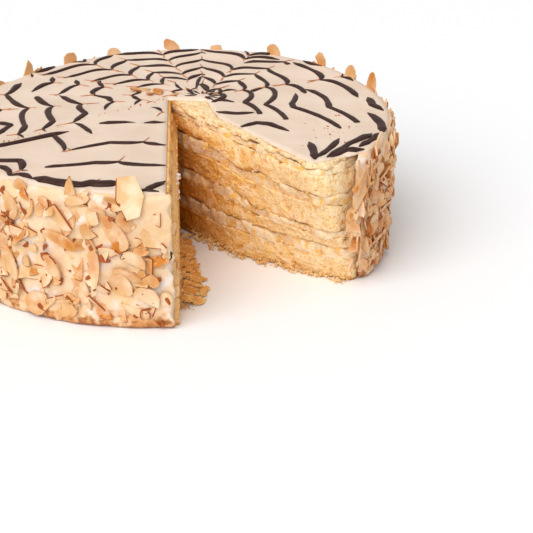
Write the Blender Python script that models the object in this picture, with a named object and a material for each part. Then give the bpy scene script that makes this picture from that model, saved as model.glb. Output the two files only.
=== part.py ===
"""Esterhazy torte: a round torte of five nut sponges and four creams with one wedge cut out.

The base rests on Z = 0, the origin is at the middle of the base, and the cut wedge opens
towards -Y. Each layer, the iced top with its piped web and the side coat with its flaked
almonds is one solid. Lengths are in metres, angles in degrees.
"""

import math
import random

import bmesh
import bpy
from mathutils import Matrix, Vector

# The whole torte
TOP_RADIUS = 0.120
BASE_INSET = 0.003
HEIGHT = 0.0721
OUTLINE_CENTRE = Vector((0.0010, -0.0022))
OUTLINE_WAVES = ((2, -0.0194, 0.0250), (3, -0.0086, -0.0185))
GAP = 0.0003
ARC_STEPS = 44
WELD = 0.00001
HALVINGS = 24

# The layers from the base up, with their thickness
SPONGE_CRUMBLE = 0.0008
CREAM_CRUMBLE = 0.0003
CREAM_RECESS = 0.0012
LAYERS = (
    ("sponge_1", 0.0142),
    ("cream_1", 0.0060),
    ("sponge_2", 0.0093),
    ("cream_2", 0.0047),
    ("sponge_3", 0.0138),
    ("cream_3", 0.0066),
    ("sponge_4", 0.0104),
    ("cream_4", 0.0029),
    ("sponge_5", 0.0020),
)

# The cut wedge: its tip, and each face's direction at the base and at the top. Past the bend
# the right face turns outward, most at the base and not at all at the top.
TIP = Vector((0.0035, 0.0130))
LEFT_FACE = (-90.8, -90.8)
RIGHT_FACE = (-53.5, -58.5)
RIGHT_BEND = 0.050
RIGHT_BEND_TURN = 18.0
CUT_STEPS = 12

# The icing, which has broken back from the tip and from the corner right of the wedge
ICING_THICKNESS = 0.0022
ICING_INSET = 0.0014
ICING_ROUNDING = 0.0008
ICING_TIP_CORNERS = (Vector((-0.0010, 0.0250)), Vector((0.0200, 0.0220)), Vector((0.0250, -0.0070)))
ICING_RIGHT_CORNER = Vector((0.0690, -0.0830))
ICING_BREAK_ANGLE = -33.5
ICING_EDGE_STEP = 0.010
ICING_EDGE_CRUMBLE = 0.0006

# The piped web. Each stroke is a row of angles and distances from the web's centre, and each
# drag of the pick has its angle and how far it pulls the strokes outward.
WEB_CENTRE = Vector((0.0180, 0.0280))
WEB_STROKES = (
    ((-46, 0.042), (-31, 0.026), (45, 0.029), (88, 0.030)),
    ((92, 0.035), (122, 0.038), (152, 0.037)),
    ((172, 0.036), (196, 0.039)),
    ((-44, 0.059), (-29, 0.038), (2, 0.040), (47, 0.044), (67, 0.045)),
    ((70, 0.045), (88, 0.047), (152, 0.051)),
    ((-40, 0.090), (-27, 0.054), (-21, 0.051), (-3, 0.051)),
    ((3, 0.056), (20, 0.054), (47, 0.056), (69, 0.059)),
    ((71, 0.061), (120, 0.064), (152, 0.065)),
    ((155, 0.061), (170, 0.061), (181, 0.051), (199, 0.056)),
    ((-32, 0.093), (-21, 0.072), (-8, 0.067), (5, 0.059)),
    ((-4, 0.084), (20, 0.075), (46, 0.078)),
    ((50, 0.073), (65, 0.071)),
    ((90, 0.077), (106, 0.077), (152, 0.082)),
    ((157, 0.076), (173, 0.077)),
    ((178, 0.075), (188, 0.071), (203, 0.068), (210, 0.076)),
    ((57, 0.079), (68, 0.082), (88, 0.083)),
    ((91, 0.086), (120, 0.093), (152, 0.096)),
    ((156, 0.091), (170, 0.094)),
    ((180, 0.089), (190, 0.086), (206, 0.088), (212, 0.096)),
    ((64, 0.088), (82, 0.095)),
    ((91, 0.096), (120, 0.103), (155, 0.104)),
    ((165, 0.106), (178, 0.105), (190, 0.099), (206, 0.104), (213, 0.111)),
    ((200, 0.115), (203, 0.110), (208, 0.120)),
    ((216, 0.130), (217, 0.108), (218, 0.092)),
    ((218, 0.099), (229, 0.106)),
    ((214, 0.078), (224, 0.082)),
    ((219, 0.029), (231, 0.028)),
    ((220, 0.067), (229, 0.052)),
    ((238, 0.051), (248, 0.051)),
    ((231, 0.101), (237, 0.089), (257, 0.083)),
    ((224, 0.142), (227, 0.135), (231, 0.138)),
    ((227, 0.147), (232, 0.146), (235, 0.150)),
    ((235, 0.132), (242, 0.119), (259, 0.113)),
    ((237, 0.150), (246, 0.151), (252, 0.142)),
    ((258, 0.148), (262, 0.131)),
    ((258, 0.148), (263, 0.150)),
    ((-63, 0.117), (-58, 0.099)),
    ((-61, 0.116), (-50, 0.104)),
    ((-59, 0.119), (-50, 0.112), (-41, 0.111)),
    ((-58, 0.120), (-54, 0.118), (-50, 0.123)),
    ((-48, 0.118), (-37, 0.114), (-31, 0.107), (-24, 0.096)),
    ((-18, 0.099), (-15, 0.094), (-8, 0.091)),
    ((-74, 0.031), (-63, 0.037), (-53, 0.040)),
    ((-68, 0.057), (-61, 0.056), (-57, 0.062), (-56, 0.074)),
    ((16, 0.088), (30, 0.089)),
    ((35, 0.087), (40, 0.084), (55, 0.087)),
    ((-40, 0.012), (60, 0.014), (92, 0.019)),
    ((93, 0.027), (98, 0.020), (118, 0.014)),
    ((126, 0.025), (142, 0.019), (172, 0.015)),
)
WEB_DRAGS = (
    (20, -0.0045), (51, 0.0050), (69, -0.0100), (89, 0.0070), (105, -0.0070), (121, 0.0045),
    (134, -0.0080), (153, 0.0050), (160, -0.0040), (175, 0.0035), (189, -0.0045), (211, 0.0040),
    (231, 0.0080), (247, -0.0045),
)
WEB_DRAG_REACH = 0.0042
WEB_LINE_RADIUS = 0.0012
WEB_LINE_SINK = 0.0003
WEB_STEP = 0.0080
WEB_SHORTEST = 0.0060
WEB_MARGIN = 0.0020

# The side coat of cream and the flaked almonds in it
COAT_THICKNESS = 0.0042
COAT_FOOT = 0.0008
COAT_RIGHT_END = -34.0
FLAKE_ROWS = 5
FLAKE_COLUMNS = 32
FLAKE_LENGTH = (0.0120, 0.0170)
FLAKE_WIDTH_SHARE = (0.52, 0.68)
FLAKE_THICKNESS = 0.0012
FLAKE_SINK = 0.0005
FLAKE_LEAN = 20.0
FLAKE_SIDES = 8
FLAKE_POINT = 0.3
FLAKE_FRONT_SHARE = 0.9
FLAKE_FOOTROOM = 0.0085
FLAKE_HEADROOM = 0.0110
FLAKE_SCATTER = 0.0020
FLAKE_JITTER = 0.3
RIM_FLAKES = 21
RIM_FLAKE_RISE = (0.0020, 0.0080)
RIM_FLAKE_LEAN = (3.0, 9.0)
RIM_FLAKE_TURN = 55.0
SEED = 13


def material(name, colour, roughness):
    """A plain Principled material."""
    made = bpy.data.materials.new(name)
    made.use_nodes = True
    shader = made.node_tree.nodes["Principled BSDF"]
    shader.inputs["Base Color"].default_value = (*colour, 1.0)
    shader.inputs["Roughness"].default_value = roughness
    shader.inputs["Metallic"].default_value = 0.0
    return made


def collection(name):
    """A collection linked to the scene."""
    made = bpy.data.collections.new(name)
    bpy.context.scene.collection.children.link(made)
    return made


def add_object(name, mesh_maker, group, look=None):
    """Make a mesh object from what mesh_maker builds in a bmesh."""
    work = bmesh.new()
    mesh_maker(work)
    bmesh.ops.recalc_face_normals(work, faces=work.faces)
    mesh = bpy.data.meshes.new(name)
    work.to_mesh(mesh)
    work.free()
    made = bpy.data.objects.new(name, mesh)
    group.objects.link(made)
    if look is not None:
        mesh.materials.append(look)
    return made


def outline_radius(angle):
    """Radius of the top rim at an angle in radians: a circle pressed a little out of round."""
    waves = sum(c * math.cos(n * angle) + s * math.sin(n * angle) for n, c, s in OUTLINE_WAVES)
    return TOP_RADIUS * (1.0 + waves)


def wall_point(angle, height, inset=0.0):
    """Point of the side wall, which leans in towards the base."""
    radius = outline_radius(angle) - BASE_INSET * (1.0 - height / HEIGHT) - inset
    flat = OUTLINE_CENTRE + radius * Vector((math.cos(angle), math.sin(angle)))
    return Vector((flat.x, flat.y, height))


def wall_angle(point):
    """Angle of a flat point about the middle of the outline."""
    offset = point - OUTLINE_CENTRE
    return math.atan2(offset.y, offset.x)


def face_direction(face, height):
    """Unit vector along a cut face, from the tip towards the rim, at a height."""
    base, top = face
    angle = math.radians(base + (top - base) * height / HEIGHT)
    return Vector((math.cos(angle), math.sin(angle)))


def reach_wall(start, direction, height, inset):
    """Where a line from a point inside the torte meets the side wall."""
    near, far = 0.0, 2.0 * TOP_RADIUS
    for _ in range(HALVINGS):
        middle = (near + far) / 2.0
        point = start + direction * middle
        wall = wall_point(wall_angle(point), height, inset).xy
        if (point - OUTLINE_CENTRE).length < (wall - OUTLINE_CENTRE).length:
            near = middle
        else:
            far = middle
    return start + direction * near


def arc(start, end, height, inset, steps):
    """Points of the side wall from one angle to a larger one, both included."""
    return [wall_point(start + (end - start) * i / steps, height, inset) for i in range(steps + 1)]


def rough_line(start, end, steps, roughness, draw):
    """Points between two flat points, without them, pushed sideways at random."""
    along = (end - start).normalized()
    side = Vector((-along.y, along.x))
    points = []
    for i in range(1, steps):
        push = draw.uniform(-roughness, roughness)
        points.append(start.lerp(end, i / steps) + side * push)
    return points


def layer_ring(height, inset, recess, roughness, draw):
    """Outline of a layer at a height: round the wall, in along the left face and back out."""
    left = face_direction(LEFT_FACE, height)
    right = face_direction(RIGHT_FACE, height)
    left_side = Vector((left.y, -left.x))
    right_side = Vector((-right.y, right.x))
    tip = TIP + (left_side + right_side) * recess / (1.0 + left_side.dot(right_side))
    left_rim = reach_wall(TIP + left_side * recess, left, height, inset)
    bend = TIP + right_side * recess + right * RIGHT_BEND
    turn = math.radians(RIGHT_BEND_TURN) * (1.0 - height / HEIGHT)
    right_rim = reach_wall(bend, Matrix.Rotation(turn, 2) @ right, height, inset)
    first = wall_angle(right_rim)
    last = wall_angle(left_rim) + 2.0 * math.pi
    ring = arc(first, last, height, inset, ARC_STEPS)
    cut = rough_line(left_rim, tip, CUT_STEPS, roughness, draw)
    cut.append(tip)
    cut.extend(rough_line(tip, bend, CUT_STEPS // 2, roughness, draw))
    cut.append(bend)
    cut.extend(rough_line(bend, right_rim, CUT_STEPS // 2, roughness, draw))
    return ring + [Vector((point.x, point.y, height)) for point in cut]


def loft(work, rings):
    """Closed solid through rings of equally many points, one above the other."""
    face = work.faces.new([work.verts.new(point) for point in rings[0]])
    for ring in rings[1:]:
        region = [face, *face.edges]
        raised = bmesh.ops.extrude_face_region(work, geom=region)["geom"]
        face = next(item for item in raised if isinstance(item, bmesh.types.BMFace))
        for vert, point in zip(face.verts, ring):
            vert.co = point


def build_layers(group, sponge, cream):
    """The sponges and creams, stacked from the base."""
    draw = random.Random(SEED)
    inset = COAT_THICKNESS + GAP
    base = 0.0
    for name, thickness in LAYERS:
        low = base + (GAP if base else 0.0)
        high = base + thickness
        if name.startswith("sponge"):
            look, recess, roughness = sponge, 0.0, SPONGE_CRUMBLE
            levels = (low, (low + high) / 2.0, high)
        else:
            look, recess, roughness = cream, CREAM_RECESS, CREAM_CRUMBLE
            levels = (low, high)
        rings = [layer_ring(level, inset, recess, roughness, draw) for level in levels]
        add_object(name, lambda work, rings=rings: loft(work, rings), group, look)
        base = high


def icing_ring(height, inset):
    """Outline of the icing: round the rim, in along the wedge and out along its broken edge."""
    left_rim = reach_wall(ICING_TIP_CORNERS[0], face_direction(LEFT_FACE, HEIGHT), height, inset)
    right_rim = wall_point(math.radians(ICING_BREAK_ANGLE), height, inset).xy
    first = wall_angle(right_rim)
    last = wall_angle(left_rim) + 2.0 * math.pi
    ring = arc(first, last, height, inset, ARC_STEPS)
    corners = (left_rim, *ICING_TIP_CORNERS, ICING_RIGHT_CORNER, right_rim)
    draw = random.Random(SEED + 1)
    cut = []
    for start, end in zip(corners, corners[1:]):
        steps = max(1, round((end - start).length / ICING_EDGE_STEP))
        cut.extend(rough_line(start, end, steps, ICING_EDGE_CRUMBLE, draw))
        cut.append(end)
    return ring + [Vector((point.x, point.y, height)) for point in cut[:-1]]


def web_pull(angle, radius):
    """How far the ring of a given radius is dragged outward at an angle in degrees."""
    pull = 0.0
    for drag, strength in WEB_DRAGS:
        turn = (angle - drag + 180.0) % 360.0 - 180.0
        distance = abs(math.radians(turn)) * radius
        pull += strength * math.exp(-distance / WEB_DRAG_REACH)
    return pull


def web_marks(stroke):
    """A stroke's own points, with a point at each drag that it crosses."""
    marks = list(stroke[:1])
    for (first, near), (last, far) in zip(stroke, stroke[1:]):
        for drag, _ in WEB_DRAGS:
            turn = (drag - first) % 360.0
            if 0.0 < turn < last - first:
                marks.append((first + turn, near + (far - near) * turn / (last - first)))
        marks.append((last, far))
    return sorted(marks)


def web_line(stroke):
    """A stroke as flat points in even steps, with the drags' pull on it."""
    places = []
    marks = web_marks(stroke)
    for (first, near), (last, far) in zip(marks, marks[1:]):
        length = math.hypot(far - near, math.radians(last - first) * (near + far) / 2.0)
        count = max(1, round(length / WEB_STEP))
        for i in range(count):
            share = i / count
            places.append((first + (last - first) * share, near + (far - near) * share))
    places.append(marks[-1])
    line = []
    for angle, radius in places:
        turn = math.radians(angle)
        reach = radius + web_pull(angle, radius)
        line.append(WEB_CENTRE + reach * Vector((math.cos(turn), math.sin(turn))))
    return line


def on_icing(point, margin):
    """Whether a flat point lies on the icing and at least a margin inside its edge."""
    ring = [corner.xy for corner in icing_ring(HEIGHT, ICING_INSET + margin)]
    inside = False
    for start, end in zip(ring, ring[1:] + ring[:1]):
        if (start.y > point.y) != (end.y > point.y):
            crossing = start.x + (end.x - start.x) * (point.y - start.y) / (end.y - start.y)
            if point.x < crossing:
                inside = not inside
    return inside


def edge_between(inner, outer):
    """The last point on the icing on the way from a point on it to a point off it."""
    for _ in range(HALVINGS):
        middle = (inner + outer) / 2.0
        if on_icing(middle, WEB_MARGIN):
            inner = middle
        else:
            outer = middle
    return inner


def runs_on_icing(points):
    """The stretches of a line that lie on the icing."""
    runs = []
    run = []
    for last, point in zip([None] + points, points):
        here = on_icing(point, WEB_MARGIN)
        if here and last is not None and not run:
            run = [edge_between(point, last)]
        if here:
            run.append(point)
        elif run:
            run.append(edge_between(run[-1], point))
            runs.append(run)
            run = []
    if run:
        runs.append(run)
    return [run for run in runs if (run[-1] - run[0]).length > WEB_SHORTEST]


def web_lines():
    """The piped lines on the icing, as flat point lists."""
    lines = []
    for stroke in WEB_STROKES:
        lines.extend(runs_on_icing(web_line(stroke)))
    return lines


def piped_line(name, points, group):
    """A piped line of chocolate as a mesh: a bevelled curve with its caps welded."""
    curve = bpy.data.curves.new(name, "CURVE")
    curve.dimensions = "3D"
    curve.bevel_depth = WEB_LINE_RADIUS
    curve.bevel_resolution = 0
    curve.use_fill_caps = True
    spline = curve.splines.new("POLY")
    spline.points.add(len(points) - 1)
    for control, point in zip(spline.points, points):
        control.co = (point.x, point.y, HEIGHT - WEB_LINE_SINK, 1.0)
    guide = bpy.data.objects.new(name, curve)
    group.objects.link(guide)
    view = bpy.context.evaluated_depsgraph_get()
    mesh = bpy.data.meshes.new_from_object(guide.evaluated_get(view))
    bpy.data.objects.remove(guide)
    work = bmesh.new()
    work.from_mesh(mesh)
    bmesh.ops.remove_doubles(work, verts=work.verts, dist=WELD)
    bmesh.ops.recalc_face_normals(work, faces=work.faces)
    work.to_mesh(mesh)
    work.free()
    made = bpy.data.objects.new(name, mesh)
    group.objects.link(made)
    return made


def join_by(base, group, operation):
    """Apply one Boolean of a whole collection to an object, then remove the collection's objects."""
    change = base.modifiers.new(operation.lower(), "BOOLEAN")
    change.operation = operation
    change.operand_type = "COLLECTION"
    change.collection = group
    change.solver = "MANIFOLD"
    view = bpy.context.evaluated_depsgraph_get()
    mesh = bpy.data.meshes.new_from_object(base.evaluated_get(view))
    base.modifiers.remove(change)
    base.data = mesh
    for item in list(group.objects):
        bpy.data.objects.remove(item)


def build_icing(group, cutters, look):
    """The icing with the piped web on it."""
    low = HEIGHT - ICING_THICKNESS + GAP
    levels = ((low, 0.0), (HEIGHT - ICING_ROUNDING, 0.0), (HEIGHT, ICING_ROUNDING))
    rings = [icing_ring(height, ICING_INSET + inset) for height, inset in levels]
    icing = add_object("top_icing", lambda work: loft(work, rings), group, look)
    for number, points in enumerate(web_lines(), 1):
        piped_line(f"web_line_{number}", points, cutters)
    join_by(icing, cutters, "UNION")
    return icing


def build_coat(group, cutters, look):
    """The cream coat of the side wall with its flaked almonds."""
    coat = add_object("side_coat", coat_band, group, look)
    draw = random.Random(SEED + 2)
    for number, place in enumerate(flake_places(draw) + rim_flake_places(draw), 1):
        add_object(f"flake_{number}", lambda work, place=place: flake(work, *place), cutters)
    join_by(coat, cutters, "UNION")
    return coat


def coat_span():
    """First and last angle of the coat, which has come away at the right corner."""
    left_rim = reach_wall(TIP, face_direction(LEFT_FACE, HEIGHT), HEIGHT, 0.0)
    return math.radians(COAT_RIGHT_END), wall_angle(left_rim) + 2.0 * math.pi


def coat_band(work):
    """A band round the layers, open at the cut wedge."""
    first, last = coat_span()
    rings = []
    for height in (COAT_FOOT, HEIGHT - ICING_THICKNESS):
        outer = arc(first, last, height, 0.0, ARC_STEPS)
        inner = arc(first, last, height, COAT_THICKNESS, ARC_STEPS)
        rings.append(outer + inner[::-1])
    loft(work, rings)


def flake(work, angle, height, length, width, spin, lean, lean_axis, lift):
    """One flaked almond: a thin pointed oval that lies against the wall."""
    made = bmesh.ops.create_cone(
        work,
        cap_ends=True,
        segments=FLAKE_SIDES,
        radius1=1.0,
        radius2=FLAKE_FRONT_SHARE,
        depth=FLAKE_THICKNESS,
    )
    for vert in made["verts"]:
        point = 1.0 - FLAKE_POINT * vert.co.x
        vert.co.x *= length / 2.0
        vert.co.y *= point * width / 2.0
    spot = wall_point(angle, height, -lift)
    out = Vector((math.cos(angle), math.sin(angle), 0.0))
    across = Vector((-out.y, out.x, 0.0))
    facing = Matrix((across, Vector((0.0, 0.0, 1.0)), out)).transposed().to_4x4()
    tilt = Matrix.Rotation(lean, 4, Vector((math.cos(lean_axis), math.sin(lean_axis), 0.0)))
    turn = Matrix.Rotation(spin, 4, "Z")
    bmesh.ops.transform(
        work, verts=made["verts"], matrix=Matrix.Translation(spot) @ facing @ tilt @ turn)


def flake_size(draw):
    """Length and width of one flake."""
    length = draw.uniform(*FLAKE_LENGTH)
    return length, length * draw.uniform(*FLAKE_WIDTH_SHARE)


def flake_places(draw):
    """Places of the flakes that lie in the coat: staggered rows with some scatter."""
    first, last = coat_span()
    margin = FLAKE_FOOTROOM / TOP_RADIUS
    low = COAT_FOOT + FLAKE_FOOTROOM
    high = HEIGHT - ICING_THICKNESS - FLAKE_HEADROOM
    places = []
    for row in range(FLAKE_ROWS):
        for column in range(FLAKE_COLUMNS):
            share = (column + 0.5 * (row % 2) + draw.uniform(-FLAKE_JITTER, FLAKE_JITTER)) / FLAKE_COLUMNS
            angle = min(max(first + (last - first) * share, first + margin), last - margin)
            height = low + (high - low) * row / (FLAKE_ROWS - 1)
            height += draw.uniform(-FLAKE_SCATTER, FLAKE_SCATTER)
            length, width = flake_size(draw)
            lean = math.radians(draw.uniform(0.0, FLAKE_LEAN))
            lift = width / 3.0 * math.sin(lean) + FLAKE_THICKNESS / 2.0 - FLAKE_SINK
            spin = draw.uniform(0.0, math.pi * 2.0)
            places.append((angle, height, length, width, spin, lean, spin, lift))
    return places


def rim_flake_places(draw):
    """Places of the flakes that stand up past the rim, outside the icing."""
    first, last = coat_span()
    places = []
    for number in range(RIM_FLAKES):
        share = (number + draw.uniform(0.2, 0.8)) / RIM_FLAKES
        length, width = flake_size(draw)
        height = HEIGHT + draw.uniform(*RIM_FLAKE_RISE) - length / 2.0
        spin = math.radians(90.0 + draw.uniform(-RIM_FLAKE_TURN, RIM_FLAKE_TURN))
        lean = math.radians(draw.uniform(*RIM_FLAKE_LEAN))
        lift = FLAKE_THICKNESS / 2.0 - FLAKE_SINK
        places.append((first + (last - first) * share, height, length, width, spin, lean, 0.0, lift))
    return places


def main():
    """Clear the scene and build the torte."""
    for item in list(bpy.data.objects):
        bpy.data.objects.remove(item)
    torte = collection("esterhazy_torte")
    cutters = collection("fused_pieces")
    sponge = material("sponge", (0.82, 0.60, 0.30), 0.9)
    cream = material("nut_cream", (0.66, 0.54, 0.38), 0.6)
    icing = material("icing", (0.86, 0.77, 0.64), 0.35)
    coat = material("almond_coat", (0.80, 0.60, 0.38), 0.6)
    build_layers(torte, sponge, cream)
    build_icing(torte, cutters, icing)
    build_coat(torte, cutters, coat)


main()
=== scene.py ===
"""Looks of the esterhazy torte: crumbly layers, ivory icing with a dragged web, flaked almonds.

Lengths are in metres and angles in degrees. The base rests on Z = 0 and the cut opens towards -Y.
"""

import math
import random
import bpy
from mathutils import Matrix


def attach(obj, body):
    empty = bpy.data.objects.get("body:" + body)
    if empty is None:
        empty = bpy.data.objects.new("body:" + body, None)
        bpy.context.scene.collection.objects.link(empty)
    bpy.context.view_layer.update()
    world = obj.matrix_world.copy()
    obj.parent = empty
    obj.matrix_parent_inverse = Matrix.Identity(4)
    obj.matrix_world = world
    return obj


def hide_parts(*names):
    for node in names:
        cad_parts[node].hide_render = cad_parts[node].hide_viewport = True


bl_info = {
    "name": "Esterhazy torte",
    "version": (1, 1, 0),
    "blender": (4, 5, 0),
    "location": "3D View > Sidebar > Torte",
    "description": "Dresses the esterhazy torte and sets its stage",
    "category": "Object",
}

from math import radians, tau

import bmesh
import bpy
from bpy.props import FloatProperty, FloatVectorProperty, IntProperty, PointerProperty
from mathutils import Matrix, Vector, noise
from mathutils.kdtree import KDTree

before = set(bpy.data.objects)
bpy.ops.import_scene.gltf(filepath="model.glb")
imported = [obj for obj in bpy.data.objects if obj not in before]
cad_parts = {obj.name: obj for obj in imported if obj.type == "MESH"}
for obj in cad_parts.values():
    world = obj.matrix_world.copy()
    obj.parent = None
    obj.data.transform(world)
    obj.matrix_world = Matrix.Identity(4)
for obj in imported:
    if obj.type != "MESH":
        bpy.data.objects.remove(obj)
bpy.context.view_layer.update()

# The whole torte, as it is built
TOP_RADIUS = 0.120
BASE_INSET = 0.003
HEIGHT = 0.0721
OUTLINE_CENTRE = Vector((0.0010, -0.0022))
OUTLINE_WAVES = ((2, -0.0194, 0.0250), (3, -0.0086, -0.0185))
GAP = 0.0003
HALVINGS = 24
SEED = 13
LAYERS = (
    ("sponge_1", 0.0142), ("cream_1", 0.006), ("sponge_2", 0.0093), ("cream_2", 0.0047),
    ("sponge_3", 0.0138), ("cream_3", 0.0066), ("sponge_4", 0.0104), ("cream_4", 0.0029),
    ("sponge_5", 0.002),
)

# The cut wedge: its tip, each face's direction at the base and the top, and the right face's bend
TIP = Vector((0.0035, 0.0130))
LEFT_FACE = (-90.8, -90.8)
RIGHT_FACE = (-53.5, -58.5)
RIGHT_BEND = 0.050
RIGHT_BEND_TURN = 18.0
CREAM_RECESS = 0.0012

# The icing and the places where it has broken back
ICING_THICKNESS = 0.0022
ICING_FOOT = HEIGHT - ICING_THICKNESS
SUNK = 0.0001
ICING_INSET = 0.0014
ICING_TIP_CORNERS = (Vector((-0.0010, 0.0250)), Vector((0.0200, 0.0220)), Vector((0.0250, -0.0070)))
ICING_RIGHT_CORNER = Vector((0.0690, -0.0830))
ICING_BREAK_ANGLE = -33.5

# How finely the layers are modelled, and how their outline is divided
CRUMB_STEP = 0.00058
SKIN_ROWS = 5
SHELF_ROWS = 30
SKIN_STEP = 0.0008
CORNER_RUN = 0.014
CORNER_SHARE = 0.8
CORNER_STEPS = 28
BARE_REACH = 0.008
BARE_STEPS = 26
WALL_STEPS = 60
FACE_STEPS = 180
BEND_STEPS = 84
OUTER_STEPS = 84
FACE_LENGTH = 0.112

# The layers' own unevenness: a slow and a quick wave, calm at the base and the top, and two
# sags of the right face near the tip, each with its height, spread, depth and reach. The top edge
# has crumbled back from a height on, by a depth.
CALM_REACH = 0.012
SLOW_WAVE = (0.0011, 0.034)
QUICK_WAVE = (0.0007, 0.0060)
SAGS = ((0.0335, 0.009, 0.0030, (0.050, 0.068)), (0.0545, 0.008, 0.0020, (0.035, 0.060)))
CRUMBLED_EDGE = (0.0585, 0.0034)
TIP_REACH = 0.025
ROUND_CRUMB = 0.0023
PIT_SPACING = 0.0036
PIT_DEPTH = 2.2
UNDERCUT_RISE = 0.0024
UNDERCUT_WAVE = 0.013
UNDERCUT_NICK = 0.004
TOP_CRUMBLE_WAVE = 0.0075
SMEAR_SIZE = 0.011
SHELF_RISE = 0.0009

# Relief as sums of noise, each with its share, the size of its lumps and its place in the noise
CRUMB_NOISE = ((0.55, 0.0052, (0, 0, 0)), (0.35, 0.0018, (9, 4, 2)), (0.15, 0.0009, (0, 0, 0)))
CREAM_NOISE = ((0.75, 0.0075, (0, 0, 0)), (0.40, 0.0028, (4, 2, 7)), (0.20, 0.0012, (0, 0, 0)))
COAT_NOISE = ((0.60, 0.013, (0, 0, 0)), (0.35, 0.0052, (2, 7, 1)), (0.15, 0.0021, (0, 0, 0)))

# The piped web. Each stroke is its share of the full width and a row of angles and distances
# from the web's centre, these in millimetres. Each drag of the pick has its angle and its
# outward pull. The strokes at the centre are given by their corners.
WEB_CENTRE = Vector((0.0180, 0.0280))
WEB_STROKES = (
    (0.9, ((-46, 42), (-31, 26), (45, 29), (88, 30))), (0.9, ((92, 35), (122, 38), (152, 37))),
    (0.8, ((172, 36), (196, 39))), (0.9, ((-44, 59), (-29, 38), (2, 40), (47, 44), (67, 45))),
    (0.9, ((70, 45), (88, 47), (152, 51))), (1.0, ((-40, 90), (-27, 54), (-21, 51), (-3, 51))),
    (1.0, ((3, 56), (20, 54), (47, 56), (69, 59))), (0.9, ((71, 61), (120, 64), (152, 65))),
    (0.9, ((155, 61), (170, 61), (181, 51), (199, 56))), (1.0, ((-32, 93), (-21, 72), (-8, 67), (5, 59))),
    (1.0, ((-4, 84), (20, 75), (46, 78))), (1.0, ((50, 73), (65, 71))),
    (0.9, ((90, 77), (106, 77), (152, 82))), (0.9, ((157, 76), (173, 77))),
    (1.1, ((178, 75), (188, 71), (203, 68), (210, 76))), (1.0, ((57, 79), (68, 82), (88, 83))),
    (1.0, ((91, 86), (120, 93), (152, 96))), (1.0, ((156, 91), (170, 94))),
    (1.1, ((180, 89), (190, 86), (206, 88), (212, 96))), (1.0, ((64, 88), (82, 95))),
    (1.1, ((91, 96), (120, 103), (155, 104))),
    (1.1, ((165, 106), (178, 105), (190, 99), (206, 104), (213, 111))),
    (1.1, ((200, 115), (203, 110), (208, 120))), (1.0, ((158, 117), (175, 118), (189, 114), (198, 117))),
    (1.0, ((170, 130), (184, 129), (198, 131))), (1.2, ((216, 130), (217, 108), (218, 92))),
    (1.0, ((218, 99), (229, 106))), (0.9, ((214, 78), (224, 82))), (0.8, ((219, 29), (231, 28))),
    (0.9, ((220, 67), (229, 52))), (0.9, ((238, 51), (248, 51))),
    (1.0, ((231, 101), (237, 89), (257, 83))), (1.3, ((224, 142), (227, 135), (231, 138))),
    (1.2, ((227, 147), (232, 146), (235, 150))), (1.0, ((235, 132), (242, 119), (259, 113))),
    (2.1, ((237, 150), (246, 151), (252, 142))), (1.1, ((258, 148), (262, 131))),
    (0.9, ((258, 148), (263, 150))), (1.3, ((-63, 117), (-58, 99))), (1.1, ((-61, 116), (-50, 104))),
    (1.3, ((-59, 119), (-50, 112), (-41, 111))), (1.3, ((-58, 120), (-54, 118), (-50, 123))),
    (1.5, ((-48, 118), (-37, 114), (-31, 107), (-24, 96))), (1.4, ((-18, 99), (-15, 94), (-8, 91))),
    (1.0, ((-74, 31), (-63, 37), (-53, 40))), (1.1, ((-68, 57), (-61, 56), (-57, 62), (-56, 74))),
    (0.9, ((16, 88), (30, 89))), (0.9, ((35, 87), (40, 84), (55, 87))),
    (0.9, ((-40, 12), (60, 14), (92, 19))), (0.8, ((93, 27), (98, 20), (118, 14))),
    (0.8, ((126, 25), (142, 19), (172, 15))),
)
STAR_ANGLES = (-62, -35, -8, 22, 58, 84, 112, 148, 171)
STAR_SPAN = (0.0035, 0.0105)
CENTRE_STROKES = (
    ((0.0235, 0.0162), (0.026, 0.022), (0.0348, 0.0154)),
    ((0.018, 0.047), (0.022, 0.0281), (0.0248, 0.0367)),
    ((0.0093, 0.0414), (0.0115, 0.035), (0.0135, 0.0302)),
    ((0.0285, 0.0338), (0.032, 0.0393), (0.0373, 0.0362)),
    ((0.0454, 0.0338), (0.048, 0.037), (0.0513, 0.0388)),
)
WEB_DRAGS = (
    (20, -0.0045), (51, 0.005), (69, -0.01), (89, 0.007), (105, -0.007), (121, 0.0045), (134, -0.008),
    (153, 0.005), (160, -0.004), (175, 0.0035), (189, -0.0045), (211, 0.004), (231, 0.008),
    (247, -0.0045),
)
WEB_DRAG_REACH = 0.0042
WEB_THINNING = 0.52
WEB_THIN_REACH = 0.0032
WEB_STEP = 0.0009
WEB_SHORTEST = 0.0045
WEB_MARGIN = 0.0016
WEB_TAPER = 0.0070
WEB_RUN_ON = 0.0034
WEB_HEAVY = 1.5
TAIL_LENGTH = (0.004, 0.010)
TAIL_BEND = 0.0022

# How a stroke is inked: its width at the ends as shares, and how much and how fast it swells
STROKE_HEADS = (0.20, 0.20, 0.40, 0.90)
STROKE_END = 0.18
STROKE_SWELL = (0.40, 0.011)
STAR_WEIGHT = 0.7
CENTRE_WEIGHT = 0.8

# Rounded edges, each with its depth and its reach
ICING_EDGE = (0.0012, 0.0024)
COAT_TOP_EDGE = (0.0016, 0.004)
COAT_FOOT_EDGE = (0.0010, 0.003)

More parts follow.
